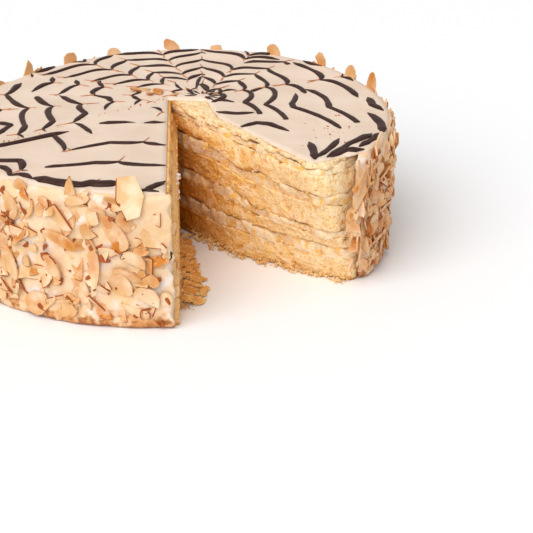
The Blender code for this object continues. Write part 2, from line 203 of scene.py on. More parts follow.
# The icing's own surface, and the line along which the next slice has been scored. A ridge
# stands beside that line and beside each piped one.
ICING_CELL = 0.0009
ICING_EDGE_STEP = 0.0008
ICING_EDGE_CRUMBLE = 0.0008
ICING_COARSE_STEP = 0.004
ICING_WAVE = 0.030
LINE_RIDGE = (0.00025, 0.0007)
SCORE_RIDGE = (0.0009, 0.0007)
SCORE_GROOVE = 0.0005
SCORE_BREAK = 0.006
SCORE = tuple(map(Vector, (
    (-0.0015, 0.0263), (-0.0151, 0.0150), (-0.0404, -0.0037), (-0.0621, -0.0235), (-0.0990, -0.0560))))

# The side coat
COAT_THICKNESS = 0.0042
COAT_FOOT = 0.0008
COAT_RIGHT_END = -34.0
COAT_RAGGED_END = (-33.6, -39.0)
COAT_TAPER = 0.005
COAT_CUT_BACK = 0.0026
COAT_SWELL = 0.0004
COAT_NICK = 2.2
COAT_STEP = 0.0012
COAT_ROWS = 56
COAT_BACK_ROWS = 6
COAT_OVERLAP = 0.0012
COAT_WANDER = 0.011
COAT_NICK_SIZE = 0.0032
COAT_END_WAVE = 0.006

# Flaked almonds. Small pieces have a span of lengths, a span of lifts off the wall and a largest lean.
FLAKE_ROWS = 5
FLAKE_COLUMNS = 32
FLAKE_LENGTH = (0.0120, 0.0170)
FLAKE_WIDTH_SHARE = (0.52, 0.68)
FLAKE_THICKNESS = 0.0012
FLAKE_TAPER = 0.30
FLAKE_SINK = 0.0005
FLAKE_LEAN = 20.0
FLAKE_FOOTROOM = 0.0085
FLAKE_HEADROOM = 0.0110
FLAKE_SCATTER = 0.0020
FLAKE_JITTER = 0.3
FLAKE_CLEAR = 0.010
FLAKE_KINDS = 9
FLAKE_TOASTS = (-0.2, 0.1, 0.2, 0.35, 0.5, 0.75, 1.0, 1.3)
BROKEN_CLEAR = 0.0045
BROKEN_TOAST = 0.4
RIM_SKIN = 0.035
RIM_BROWN = 0.16
SKIN_SPREADS = (0.0, 0.4, 0.9, 1.5)
BROKEN_PIECES = ((0.0055, 0.0140), (0.0000, 0.0020), 46.0)
CHIP_PIECES = ((0.0020, 0.0066), (0.0004, 0.0016), 34.0)
STEEP_SPAN = (-41.5, 14.0)
STEEP_LENGTH = (0.007, 0.016)
STEEP_LEAN = (20.0, 68.0)
STEEP_TURN = 28.0
RIM_FLAKES = 21
RIM_FLAKE_RISE = (0.0020, 0.0080)
RIM_FLAKE_LEAN = (3.0, 9.0)
RIM_FLAKE_TURN = 55.0

# The flakes that stand out at the front: angle on the wall, height, length, width, turn, lean,
# and how toasted
FRONT_FLAKES = (
    (-116.5, 0.058, 0.0165, 0.0125, -35, 14, 0.15), (-117.0, 0.0455, 0.0195, 0.0068, -20, 10, 0.95),
    (-113.0, 0.023, 0.0215, 0.0078, -70, 8, 0.9), (-109.5, 0.0315, 0.0215, 0.008, -93, 12, 0.7),
    (-104.0, 0.052, 0.0222, 0.0088, -56, 10, 0.8), (-99.5, 0.037, 0.014, 0.01, -41, 18, 0.2),
    (-103.0, 0.024, 0.0135, 0.011, -36, 8, 0.45), (-124.5, 0.009, 0.015, 0.012, 41, 6, 0.75),
    (-119.5, 0.0305, 0.014, 0.0105, -53, 20, 0.5), (-97.0, 0.017, 0.0155, 0.0115, -43, 10, 0.25),
    (-100.0, 0.0115, 0.0165, 0.0062, -27, 16, 0.05), (-92.6, 0.015, 0.0115, 0.006, -90, 6, 0.3),
    (-130.0, 0.059, 0.014, 0.0098, -67, 8, 0.5), (-132.0, 0.0275, 0.019, 0.011, -61, 9, 0.4),
    (-134.5, 0.0155, 0.012, 0.01, -38, 24, 0.3), (-94.0, 0.061, 0.0115, 0.0085, -79, 10, 0.1),
    (-101.5, 0.0295, 0.015, 0.0055, -17, 22, 0.55),
)
LEANING_FLAKE = (-100.0, 0.0700, 0.0225, 0.0150, -79, -14.0, -0.30)

# Bits of almond that lie on the icing: place, length, width, turn and how toasted
ICING_BITS = (
    (-0.0160, 0.0400, 0.0120, 0.0062, 15, 0.9), (-0.0050, 0.0340, 0.0100, 0.0070, -30, 1.2),
    (-0.0105, 0.0325, 0.0070, 0.0045, 65, 0.7), (0.0020, 0.0300, 0.0050, 0.0030, 10, 1.2),
)

# Crumbs: spans of their sizes, the heap and the crust at the foot, and where white crumbs hang on
# the left cut, as share of the way out, height and number
FACE_CRUMBS = (0.0004, 0.0013)
FOOT_CRUMBS = (0.0005, 0.0021)
STRAY_CRUMBS = (0.0004, 0.0014)
PALE_SIZE = (0.0012, 0.0028)
HEAP = 0.0030
CRUST_REACH = 0.013
CRUST_LENGTH = (0.0025, 0.0095)
CRUST_LIFT = 0.0011
CRUST_HEAP = 0.0022
PALE_CRUMBS = ((0.78, 0.060, 6), (0.62, 0.045, 4), (0.93, 0.018, 3))
PALE_SPREAD = 0.0022

# The light and the camera
KEY_SOFTNESS = 58.0
KEY_AZIMUTH = -122.0
KEY_ELEVATION = 46.0
CAMERA_PLACE = Vector((0.0010, -0.9286, 0.3768))
CAMERA_YAW = 3.073
CAMERA_PITCH = 23.053
CAMERA_ROLL = -0.394
CAMERA_LENS = 123.2
CAMERA_SENSOR = 36.0


# ---------------------------------------------------------------- settings


def metres(name, description, default, high, low=0.0):
    """A setting for a length."""
    return FloatProperty(name=name, description=description, default=default, min=low, max=high,
                         subtype="DISTANCE", unit="LENGTH")


def amount(name, description, default, high):
    """A setting for a number of pieces."""
    return IntProperty(name=name, description=description, default=default, min=0, max=high)


def shade(name, description, *default):
    """A setting for a colour."""
    return FloatVectorProperty(name=name, description=description, default=default, size=3, min=0.0,
                               max=1.0, subtype="COLOR")


class TorteLayerSettings(bpy.types.PropertyGroup):
    """Sizes and colours of the sponges and creams."""

    crumble: metres("Crumble", "How far the crumb of a cut sponge stands in and out", 0.0011, 0.003)
    grain: metres("Cream grain", "How far the grain of the nut cream stands in and out", 0.0007, 0.002)
    undercut: metres("Undercut", "How far the lower edge of a sponge has broken back", 0.0011, 0.004)
    sponge: shade("Sponge", "Colour of the crumb far from the tip", 0.94, 0.66, 0.34)
    # Golden and tip are painted shade: the crumb darkens towards the shaded tip of the notch.
    golden: shade("Golden crumb", "Colour of the crumb halfway along the cut", 0.90, 0.52, 0.14)
    tip: shade("Tip", "Colour of the moist crumb at the tip", 0.50, 0.17, 0.006)
    # The pit colour serves the crumb's own pits and the painted shade in its crevices.
    pit_tone_and_shade: shade("Pits", "Colour in the pits of the crumb", 0.78, 0.37, 0.08)
    # The crust colour also paints the line along each sponge's lower edge: partly baked underside, partly
    # painted shade of the crack between layers.
    crust: shade("Crust", "Colour of the baked underside", 0.48, 0.20, 0.045)
    cream: shade("Nut cream", "Colour of the nut cream", 0.88, 0.67, 0.42)


class TorteIcingSettings(bpy.types.PropertyGroup):
    """Sizes and colours of the icing and its web."""

    waviness: metres("Waviness", "Height of the slow waves in the icing", 0.0003, 0.001)
    score: metres("Score", "Height of the ridge beside the scored line", 0.0005, 0.0015)
    line_width: metres("Line width", "Width of the piped lines", 0.0034, 0.006, 0.001)
    tail_width: metres("Tail width", "Width of the tails drawn out by the pick", 0.0011, 0.002, 0.0002)
    icing: shade("Icing", "Colour of the icing", 0.83, 0.64, 0.50)
    chocolate: shade("Chocolate", "Colour of the piped lines", 0.040, 0.015, 0.011)
    tail: shade("Tails", "Colour of the thin tails", 0.40, 0.12, 0.04)


class TorteCoatSettings(bpy.types.PropertyGroup):
    """Sizes and colours of the side coat and its almonds."""

    lumps: metres("Lumps", "Height of the lumps in the side cream", 0.0022, 0.003)
    broken: amount("Broken flakes", "Number of broken almond flakes", 900, 1500)
    chips: amount("Skin chips", "Number of brown skin chips", 430, 800)
    steep: amount("Steep flakes", "Number of flakes that stand out at the right of the cut", 230, 500)
    cream: shade("Side cream", "Colour of the side cream", 0.83, 0.58, 0.375)
    almond: shade("Almond", "Colour of pale flakes", 0.80, 0.54, 0.29)
    toasted: shade("Toasted almond", "Colour of toasted flakes", 0.60, 0.195, 0.012)
    skin: shade("Almond skin", "Colour of the almonds' skin", 0.30, 0.06, 0.009)


class TorteCrumbSettings(bpy.types.PropertyGroup):
    """Numbers and colours of the loose crumbs."""

    clinging: amount("Face crumbs", "Number of crumbs that cling to the cut faces", 700, 4000)
    skirt: amount("Foot crumbs", "Number of crumbs at the foot of the cut faces", 1300, 3000)
    crusts: amount("Crust pieces", "Number of thin crust pieces at the foot of the left cut", 110, 400)
    strays: amount("Stray crumbs", "Number of brown crumbs on the icing", 90, 400)
    golden: shade("Golden crumbs", "Colour of the sponge's crumbs", 0.90, 0.58, 0.24)
    white: shade("White crumbs", "Colour of the white crumbs on the left cut", 0.88, 0.76, 0.62)
    brown: shade("Brown crumbs", "Colour of the nut crumbs on the icing", 0.55, 0.22, 0.07)


class TorteStageSettings(bpy.types.PropertyGroup):
    """Floor and lights."""

    key: FloatProperty(
        name="Key light", description="Strength of the soft light from the left", default=2.55, min=0.0)
    fill: FloatProperty(
        name="Fill light", description="Strength of the light all round", default=0.52, min=0.0)
    floor: shade("Floor", "Colour of the floor", 0.95, 0.95, 0.955)


# ---------------------------------------------------------------- materials


class Look:
    """A material in the making: its nodes, the object's own coordinates and its colour so far."""

    def __init__(self, name, base, roughness, specular, subsurface=0.0, radius=0.002):
        self.material = bpy.data.materials.new(name)
        self.material.use_nodes = True
        self.tree = self.material.node_tree
        self.shader = self.tree.nodes["Principled BSDF"]
        values = {"Roughness": roughness, "Specular IOR Level": specular, "Subsurface Weight": subsurface,
                  "Subsurface Radius": (1.0, 0.6, 0.35), "Subsurface Scale": radius}
        for key, value in values.items():
            self.shader.inputs[key].default_value = value
        self.place = self.tree.nodes.new("ShaderNodeTexCoord").outputs["Object"]
        self.colour = base

    def feed(self, socket, value):
        """Link a socket to another, or give it a value."""
        if isinstance(value, bpy.types.NodeSocket):
            self.tree.links.new(value, socket)
        else:
            socket.default_value = value

    def node(self, kind, result, **inputs):
        """A result of a new node. Inputs are named with underscores for spaces."""
        made = self.tree.nodes.new("ShaderNode" + kind)
        for name, value in inputs.items():
            self.feed(made.inputs[name.replace("_", " ")], value)
        return made.outputs[result]

    def noise(self, size, detail=3.0):
        """Noise whose lumps are about a given size across."""
        return self.node("TexNoise", "Fac", Vector=self.place, Scale=1.0 / size, Detail=detail)

    def relief(self, size, cell):
        """Fine noise with round cells in it."""
        cells = self.node("TexVoronoi", "Distance", Vector=self.place, Scale=1.0 / cell)
        return self.maths("ADD", self.noise(size), cells)

    def ramp(self, factor, low, high):
        """A factor that rises from 0 at low to 1 at high."""
        return self.node("MapRange", "Result", Value=factor, From_Min=low, From_Max=high)

    def patches(self, size, low, high, detail=3.0):
        """Patches of about a given size: 0 below one noise value and 1 above another."""
        return self.ramp(self.noise(size, detail), low, high)

    def maths(self, operation, first, second=0.0):
        """A Math node between two sockets or numbers."""
        made = self.tree.nodes.new("ShaderNodeMath")
        made.operation = operation
        self.feed(made.inputs[0], first)
        self.feed(made.inputs[1], second)
        return made.outputs["Value"]

    def both(self, first, second):
        """Two factors multiplied."""
        return self.maths("MULTIPLY", first, second)

    def stored(self, name):
        """A number stored on the mesh."""
        made = self.tree.nodes.new("ShaderNodeAttribute")
        made.attribute_name = name
        return made.outputs["Fac"]

    def height(self):
        """Height above the base."""
        return self.node("SeparateXYZ", "Z", Vector=self.place)

    def mix(self, factor, first, second):
        """Two colours mixed, each a socket or a plain colour."""
        made = self.tree.nodes.new("ShaderNodeMix")
        made.data_type = "RGBA"
        for name, value in (("Factor_Float", factor), ("A_Color", first), ("B_Color", second)):
            socket = next(item for item in made.inputs if item.identifier == name)
            ready = isinstance(value, (bpy.types.NodeSocket, float))
            self.feed(socket, value if ready else (*value, 1.0))
        return next(item for item in made.outputs if item.identifier == "Result_Color")

    def lay(self, factor, colour):
        """Lay a colour over the look as far as a factor says."""
        self.colour = self.mix(factor, self.colour, colour)

    def finish(self, height=None, distance=0.0, strength=0.0):
        """The material, with its colour and, where a height is given, a bump."""
        self.tree.links.new(self.colour, self.shader.inputs["Base Color"])
        if height is not None:
            bump = self.node("Bump", "Normal", Strength=strength, Distance=distance, Height=height)
            self.tree.links.new(bump, self.shader.inputs["Normal"])
        return self.material


def tinted(colour, red, green, blue):
    """A colour with its parts multiplied and kept below 1."""
    return tuple(min(part * share, 0.98) for part, share in zip(colour, (red, green, blue)))


def notch_shade_tone(look):
    """How far a point lies from the dark tip of the notch, where painted shade falls: more along the cut
    and more towards the top.
    """
    along = look.maths("ABSOLUTE", look.stored("along"))
    higher = look.maths("ADD", along, look.both(look.height(), 0.15))
    return look.maths("ADD", higher, look.both(look.noise(0.012), 0.020))


def left_cut_shade(look):
    """Share of the golden-brown painted shade on the left cut, which faces away from the key light."""
    return look.both(look.ramp(look.stored("along"), -0.001, -0.006), 0.65)


def lay_shaded_crumb(look, settings):
    """Lay golden crumb halfway along the cut and pale crumb at the rim over a darker base, as painted shade
    of the notch. Returns the tone.
    """
    shade_tone = notch_shade_tone(look)
    look.lay(look.ramp(shade_tone, 0.022, 0.065), settings.golden)
    look.lay(look.ramp(shade_tone, 0.060, 0.115), settings.sponge)
    return shade_tone


def sponge_look(settings):
    """Open crumb, pale at the rim, with painted shade: golden along the cut and dark brown at the tip."""
    look = Look("sponge_crumb", settings.tip, 0.85, 0.2, 0.10)
    # Painted shade: the crumb is dark at the tip of the notch and lighter along the cut and higher up.
    shade_tone = lay_shaded_crumb(look, settings)
    right = look.ramp(look.stored("along"), 0.0, 0.010)
    look.lay(look.both(right, look.ramp(look.height(), 0.060, 0.068)),
             tinted(settings.sponge, 1.02, 1.08, 1.22))
    look.lay(look.both(look.patches(0.006, 0.42, 0.66), look.ramp(shade_tone, 0.02, 0.07)),
             tinted(settings.sponge, 1.03, 1.08, 1.25))
    look.lay(look.patches(0.0017, 0.54, 0.74), settings.pit_tone_and_shade)
    # Painted shade: the deeper a point lies in the relief, the more of the pit colour.
    look.lay(look.stored("crevice_shade"), settings.pit_tone_and_shade)
    look.lay(look.patches(0.0010, 0.71, 0.75, 1.0), settings.crust)
    # Patches of crust along each sponge's lower edge: partly baked underside, partly painted shade of the
    # crack between layers.
    low_edge_crust_and_shade = look.ramp(look.stored("rise"), 0.17, 0.03)
    look.lay(look.both(low_edge_crust_and_shade, look.patches(0.010, 0.40, 0.56)), settings.crust)
    # Painted shade: a darker golden-brown on the left cut, which faces away from the key light.
    look.lay(left_cut_shade(look), tinted(settings.golden, 0.98, 0.82, 0.85))
    return look.finish(look.relief(0.0009, 0.0013), 0.0006, 0.7)


def cream_look(settings):
    """Soft nut cream with ground nut in it, golden where crumbs of sponge smear over it, and darker towards
    the tip as painted shade.
    """
    cream = settings.cream
    look = Look("nut_cream", tinted(cream, 0.62, 0.36, 0.08), 0.60, 0.35, 0.15)
    # Painted shade: dark at the tip of the notch, the cream's own colour further along the cut.
    look.lay(look.ramp(notch_shade_tone(look), 0.020, 0.070), cream)
    look.lay(look.patches(0.005, 0.35, 0.65), tinted(cream, 1.05, 1.06, 1.12))
    look.lay(look.patches(0.0045, 0.53, 0.62), settings.golden)
    look.lay(look.patches(0.0012, 0.55, 0.75), tinted(cream, 0.68, 0.62, 0.52))
    # Painted shade: the deeper a point lies in the relief, the more of the pit colour.
    look.lay(look.stored("crevice_shade"), settings.pit_tone_and_shade)
    # Painted shade: a darker golden-brown on the left cut, which faces away from the key light.
    look.lay(left_cut_shade(look), tinted(settings.golden, 1.0, 0.92, 1.2))
    return look.finish(look.relief(0.0011, 0.0016), 0.0005, 0.6)


def icing_look(settings):
    """Ivory icing with a low gloss and faint mottling."""
    icing = settings.icing
    look = Look("ivory_icing", tinted(icing, 0.95, 0.94, 0.92), 0.36, 0.45, 0.15, 0.003)
    look.lay(look.patches(0.024, 0.35, 0.65), tinted(icing, 1.05, 1.06, 1.07))
    look.lay(look.both(look.patches(0.006, 0.60, 0.85, 4.0), 0.4), tinted(icing, 0.94, 0.80, 0.68))
    ripple = look.both(look.noise(0.002), 0.2)
    return look.finish(look.maths("ADD", look.noise(0.009, 2.0), ripple), 0.0004, 0.35)


def coat_look(settings):
    """Pale buttercream, greyer in patches and browned along its foot."""
    cream = settings.cream
    look = Look("side_cream", tinted(cream, 1.04, 1.05, 1.06), 0.45, 0.45, 0.2, 0.003)
    look.lay(look.patches(0.014, 0.38, 0.62), tinted(cream, 0.98, 0.93, 0.76))
    look.lay(look.patches(0.009, 0.52, 0.70, 4.0), (0.80, 0.70, 0.62))
    look.lay(look.patches(0.0022, 0.66, 0.74), (0.72, 0.44, 0.22))
    foot = look.ramp(look.height(), 0.0110, 0.0040)
    crust = look.both(foot, look.patches(0.012, 0.40, 0.50))
    look.lay(crust, (0.66, 0.29, 0.08))
    look.lay(look.both(crust, look.patches(0.0030, 0.46, 0.58)), (0.36, 0.12, 0.03))
    fine = look.both(look.noise(0.0012), 0.3)
    return look.finish(look.maths("ADD", look.noise(0.004), fine), 0.0007, 0.6)


def almond_look(settings):
    """Cut almond, each flake with its own toast."""
    pale, toasted = settings.almond, settings.toasted
    look = Look("cut_almond", tinted(pale, 0.96, 0.88, 0.76), 0.50, 0.4, 0.12, 0.0015)
    look.lay(look.patches(0.010, 0.40, 0.60), tinted(pale, 1.10, 1.22, 1.50))
    look.lay(look.both(look.stored("toast"), look.patches(0.007, 0.22, 0.55)), toasted)
    look.lay(look.patches(0.0014, 0.62, 0.80), tinted(pale, 1.06, 1.10, 1.12))
    look.lay(look.stored("edge"), tinted(toasted, 0.95, 1.10, 1.6))
    return look.finish(look.noise(0.0012), 0.0003, 0.4)


def mottled_look(name, colour, gloss, patch, tint, bump):
    """One colour with patches of a tint of it. Gloss is roughness and specular, patch is size, low
    and high, and bump is size, distance and strength."""
    look = Look(name, colour, *gloss)
    look.lay(look.patches(*patch), tinted(colour, *tint))
    return look.finish(look.noise(bump[0]), *bump[1:])


def face_crumb_look(settings):
    """Crumbs of the cut faces, coloured like the sponge behind them, painted shade included."""
    look = Look("clinging_crumbs", settings.tip, 0.85, 0.2, 0.1, 0.001)
    lay_shaded_crumb(look, settings)
    return look.finish(look.noise(0.0006), 0.0004, 0.7)


def crumb_look(name, colour):
    """A crumb of uneven colour."""
    look = Look(name, tinted(colour, 0.80, 0.66, 0.50), 0.85, 0.2, 0.1, 0.001)
    look.lay(look.patches(0.0040, 0.35, 0.65), tinted(colour, 1.10, 1.20, 1.45))
    look.lay(look.patches(0.0010, 0.50, 0.70), tinted(colour, 0.72, 0.55, 0.35))
    return look.finish(look.noise(0.0006), 0.0004, 0.7)


# ---------------------------------------------------------------- the torte's own shape


def way_at(angle):
    """Flat unit vector at an angle in radians."""
    return Vector((math.cos(angle), math.sin(angle)))


def side_of(way):
    """A flat vector turned a quarter to its left."""
    return Vector((-way.y, way.x))


def at_height(point, height=0.0):
    """A point moved to a height."""
    return Vector((point.x, point.y, height))


def wall_point(angle, height, inset=0.0):
    """Point of the side wall, which is a little out of round and leans in towards the base."""
    waves = sum(c * math.cos(n * angle) + s * math.sin(n * angle) for n, c, s in OUTLINE_WAVES)
    radius = TOP_RADIUS * (1.0 + waves) - BASE_INSET * (1.0 - height / HEIGHT) - inset
    return at_height(OUTLINE_CENTRE + radius * way_at(angle), height)


def wall_angle(point):
    """Angle of a flat point about the middle of the outline."""
    offset = point - OUTLINE_CENTRE
    return math.atan2(offset.y, offset.x)


def face_direction(face, height):
    """Unit vector along a cut face, from the tip towards the rim, at a height."""
    base, top = face
    return way_at(radians(base + (top - base) * height / HEIGHT))


def reach_wall(start, direction, height, inset):
    """Where a line from a point inside the torte meets the side wall."""
    near, far = 0.0, 2.0 * TOP_RADIUS
    for _ in range(HALVINGS):
        middle = (near + far) / 2.0
        point = start + direction * middle
        wall = wall_point(wall_angle(point), height, inset).xy
        if (point - OUTLINE_CENTRE).length < (wall - OUTLINE_CENTRE).length:
            near = middle
        else:
            far = middle
    return start + direction * near


def arc(start, end, height, inset, steps):
    """Points of the side wall from one angle to a larger one, both included."""
    return [wall_point(start + (end - start) * i / steps, height, inset) for i in range(steps + 1)]


def bent(start, corner, end, share):
    """Point of the curve that leaves start towards a corner and arrives from it at end."""
    return start.lerp(corner, share).lerp(corner.lerp(end, share), share)


def smooth_share(value, low, high):
    """0 below low, 1 above high and a smooth rise between them."""
    share = min(max((value - low) / (high - low), 0.0), 1.0)
    return share * share * (3.0 - 2.0 * share)


def rounding(distance, edge):
    """How far a surface falls back at a distance from one of its edges."""
    depth, reach = edge
    return depth * max(0.0, 1.0 - distance / reach) ** 2


def relief(point, layers):
    """Sum of several layers of noise at a point."""
    return sum(share * noise.noise(point / size + Vector(place)) for share, size, place in layers)


def right_face_line(height, inset, recess):
    """Tip, bend and rim corner of the right cut face at a height."""
    right = face_direction(RIGHT_FACE, height)
    left_side = -side_of(face_direction(LEFT_FACE, height))
    right_side = side_of(right)
    tip = TIP + (left_side + right_side) * recess / (1.0 + left_side.dot(right_side))
    bend = TIP + right_side * recess + right * RIGHT_BEND
    turn = radians(RIGHT_BEND_TURN) * (1.0 - height / HEIGHT)
    return tip, bend, reach_wall(bend, Matrix.Rotation(turn, 2) @ right, height, inset)


def layer_ring(height, inset, recess):
    """Outline of a layer at a height: round the wall, in along the left face and back out."""
    left = face_direction(LEFT_FACE, height)
    left_rim = reach_wall(TIP - side_of(left) * recess, left, height, inset)
    tip, bend, corner = right_face_line(height, inset, recess)
    face_end = corner + (bend - corner).normalized() * CORNER_RUN
    first = wall_angle(corner)
    coat_end = radians(COAT_RIGHT_END)
    start = first + min(CORNER_RUN / TOP_RADIUS, (coat_end - first) * CORNER_SHARE)
    bare = coat_end + BARE_REACH / TOP_RADIUS
    wall_start = wall_point(start, height, inset).xy
    ring = arc(start, bare, height, inset, BARE_STEPS)
    ring += arc(bare, wall_angle(left_rim) + tau, height, inset, WALL_STEPS)[1:]
    faces = ((left_rim, tip, FACE_STEPS), (tip, bend, BEND_STEPS), (bend, face_end, OUTER_STEPS))
    for near, far, steps in faces:
        ring += [near.lerp(far, i / steps) for i in range(1, steps + 1)]
    ring += [bent(face_end, corner, wall_start, i / CORNER_STEPS) for i in range(1, CORNER_STEPS)]
    return [at_height(point, height) for point in ring]


def ring_marks():
    """For each point of a layer's outline, how much the cut shows it and its distance from the
    tip, negative along the left face."""
    outer = FACE_LENGTH - RIGHT_BEND
    marks = [(1.0 - smooth_share(i / BARE_STEPS, 0.5, 1.0), FACE_LENGTH) for i in range(BARE_STEPS + 1)]
    marks += [(0.0, FACE_LENGTH)] * (WALL_STEPS - 1) + [(1.0, -FACE_LENGTH)]
    marks += [(1.0, FACE_LENGTH * (i / FACE_STEPS - 1.0)) for i in range(1, FACE_STEPS + 1)]
    marks += [(1.0, RIGHT_BEND * i / BEND_STEPS) for i in range(1, BEND_STEPS + 1)]
    marks += [(1.0, RIGHT_BEND + outer * i / OUTER_STEPS) for i in range(1, OUTER_STEPS + 1)]
    return marks + [(1.0, FACE_LENGTH)] * (CORNER_STEPS - 1)


def new_face(geometry):
    """The face among what an operator has made."""
    return next(item for item in geometry if isinstance(item, bmesh.types.BMFace))


def loft(work, rings, marks=None):
    """Closed solid through rings of equally many points, with each point's marks where given."""
    if marks:
        shown = work.verts.layers.float.new("shown")
        along = work.verts.layers.float.new("along")
    face = work.faces.new([work.verts.new(point) for point in rings[0]])
    for number, ring in enumerate(rings):
        if number:
            face = new_face(bmesh.ops.extrude_face_region(work, geom=[face, *face.edges])["geom"])
            for vert, point in zip(face.verts, ring):
                vert.co = point
        if marks:
            for vert, mark in zip(face.verts, marks):
                vert[shown], vert[along] = mark


def kept_mesh(name, work):
    """Turn a bmesh into a mesh."""
    mesh = bpy.data.meshes.new(name)
    work.to_mesh(mesh)
    work.free()
    return mesh


def add_object(name, data):
    """Add an object to the scene."""
    made = bpy.data.objects.new(name, data)
    bpy.context.scene.collection.objects.link(made)
    return made


def taken_bmesh(item):
    """The bmesh of an object with its modifiers applied. The object is removed."""
    view = bpy.context.evaluated_depsgraph_get()
    mesh = bpy.data.meshes.new_from_object(item.evaluated_get(view))
    bpy.data.objects.remove(item)
    work = bmesh.new()
    work.from_mesh(mesh)
    return work


def finish_piece(work, name, looks, replaced=(), smooth=True):
    """Turn a bmesh into a finished piece that rides with the torte."""
    bmesh.ops.recalc_face_normals(work, faces=work.faces)
    for face in work.faces:
        face.smooth = smooth
    piece = add_object(name, kept_mesh(name, work))
    for look in looks:
        piece.data.materials.append(look)
    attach(piece, "root")
    if replaced:
        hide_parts(*replaced)


# ---------------------------------------------------------------- layers


def layer_shift(point, along):
    """Rise or fall of the layers at a point: two waves, and the sags of the right face."""
    calm = min(point.z, ICING_FOOT - point.z) / CALM_REACH
    height, size = SLOW_WAVE
    shift = height * noise.noise(point / size + Vector((3.1, 0.7, 5.2)))
    height, size = QUICK_WAVE
    shift += height * noise.noise(Vector((point.x / size, point.y / size, point.z / size / 3.0)))
    for middle, spread, depth, (start, end) in SAGS:
        reach = 1.0 - 2.0 * smooth_share(along, start, end)
        if along < 0.0:
            reach = 1.0 - smooth_share(-along, 0.0, TIP_REACH)
        shift += depth * reach * math.exp(-((point.z - middle) / spread) ** 2)
    return min(max(calm, 0.0), 1.0) * shift


def crumbled_back(height):
    """Share by which the top edge has crumbled back at a height."""
    return smooth_share(height, CRUMBLED_EDGE[0], ICING_FOOT + 0.002)


def sponge_push(point, along, low, settings):
    """How far a sponge's cut stands out at a point, and its relief of lumps, crumbs and pits."""
    lump = relief(point, CRUMB_NOISE) + 0.55 * (0.5 - noise.voronoi(point / ROUND_CRUMB)[0][0])
    lump -= PIT_DEPTH * max(0.0, noise.noise(point / PIT_SPACING + Vector((1.0, 8.0, 5.0))) - 0.30)
    push = settings.crumble * lump
    flat = at_height(point, low)
    if low > 0.0:
        ragged = 0.40 + 1.6 * noise.noise(flat / UNDERCUT_WAVE) + 0.5 * noise.noise(flat / UNDERCUT_NICK)
        edge = max(0.0, 1.0 - (point.z - low) / UNDERCUT_RISE)
        deeper = 1.0 + 1.2 * math.exp(-abs(along) / TIP_REACH)
        push -= settings.undercut * edge * max(ragged, 0.0) * deeper
    push += CRUMBLED_EDGE[1] * 0.7 * crumbled_back(point.z) * noise.noise(flat / TOP_CRUMBLE_WAVE)
    return push, lump


def cream_push(point, settings):
    """How far a cream's cut stands out at a point, and its relief."""
    lump = relief(point, CREAM_NOISE)
    smear = smooth_share(noise.noise(point / SMEAR_SIZE + Vector((6.0, 1.0, 3.0))), -0.05, 0.25)
    return settings.grain * lump + CREAM_RECESS * 1.1 * smear, lump


def layer_levels(name, low, high, recess):
    """Height, inset and recess of each ring: in from the underside, up the cut, in over the top."""
    shelf = SHELF_ROWS if name == "sponge_5" else SKIN_ROWS
    rows = max(3, round((high - low) / CRUMB_STEP))
    steps = [(low, SKIN_STEP * i) for i in range(SKIN_ROWS, 0, -1)]
    steps += [(low + (high - low) * i / rows, 0.0) for i in range(rows + 1)]
    steps += [(high, SKIN_STEP * i) for i in range(1, shelf + 1)]
    backs = [depth + CRUMBLED_EDGE[1] * crumbled_back(height) for height, depth in steps]
    return [(step[0], COAT_THICKNESS + GAP + back, recess + back) for step, back in zip(steps, backs)]


def build_layer(name, low, high, settings, look):
    """One sponge or cream, torn wherever the cut shows it."""
    sponge = name.startswith("sponge")
    levels = layer_levels(name, low, high, 0.0 if sponge else CREAM_RECESS)
    work = bmesh.new()
    loft(work, [layer_ring(*level) for level in levels], ring_marks())
    work.normal_update()
    layers = work.verts.layers.float
    rise = layers.new("rise")
    crevice_shade = layers.new("crevice_shade")
    shown, along = layers["shown"], layers["along"]
    icing = icing_outline(ICING_INSET)
    moves = []
    for vert in work.verts:
        share = vert[shown]
        if share <= 0.0:
            moves.append(Vector())
            continue
        if sponge:
            push, lump = sponge_push(vert.co, vert[along], low, settings)
        else:
            push, lump = cream_push(vert.co, settings)
        move = vert.normal * push * share
        if name == "sponge_5" and vert.normal.z > 0.5:
            bare = 0.0 if is_inside(vert.co, icing) else 1.0
            move = Vector((0.0, 0.0, bare * (SHELF_RISE + settings.crumble * lump)))
        move.z += layer_shift(vert.co, vert[along]) * share
        # Depth in the relief, kept for the painted crevice shade.
        vert[crevice_shade] = min(max(-lump * 1.3 - 0.15, 0.0), 1.0) * share
        moves.append(move)
    for vert, move in zip(work.verts, moves):
        vert[rise] = (vert.co.z - low) / (high - low)
        vert.co += move
        vert.co.z = max(vert.co.z, 0.0)
    finish_piece(work, "cut_" + name, [look], (name,))


class TORTE_OT_layers(bpy.types.Operator):
    """Make the sponges and the creams between them"""

    bl_idname = "torte.layers"
    bl_label = "Sponges and creams"

    def execute(self, context):
        settings = context.scene.torte_layers
        crumb = sponge_look(settings)
        cream = cream_look(settings)
        base = 0.0
        for name, thickness in LAYERS:
            look = crumb if name.startswith("sponge") else cream
            build_layer(name, base, base + thickness, settings, look)
            base += thickness
        return {"FINISHED"}


# ---------------------------------------------------------------- icing and web


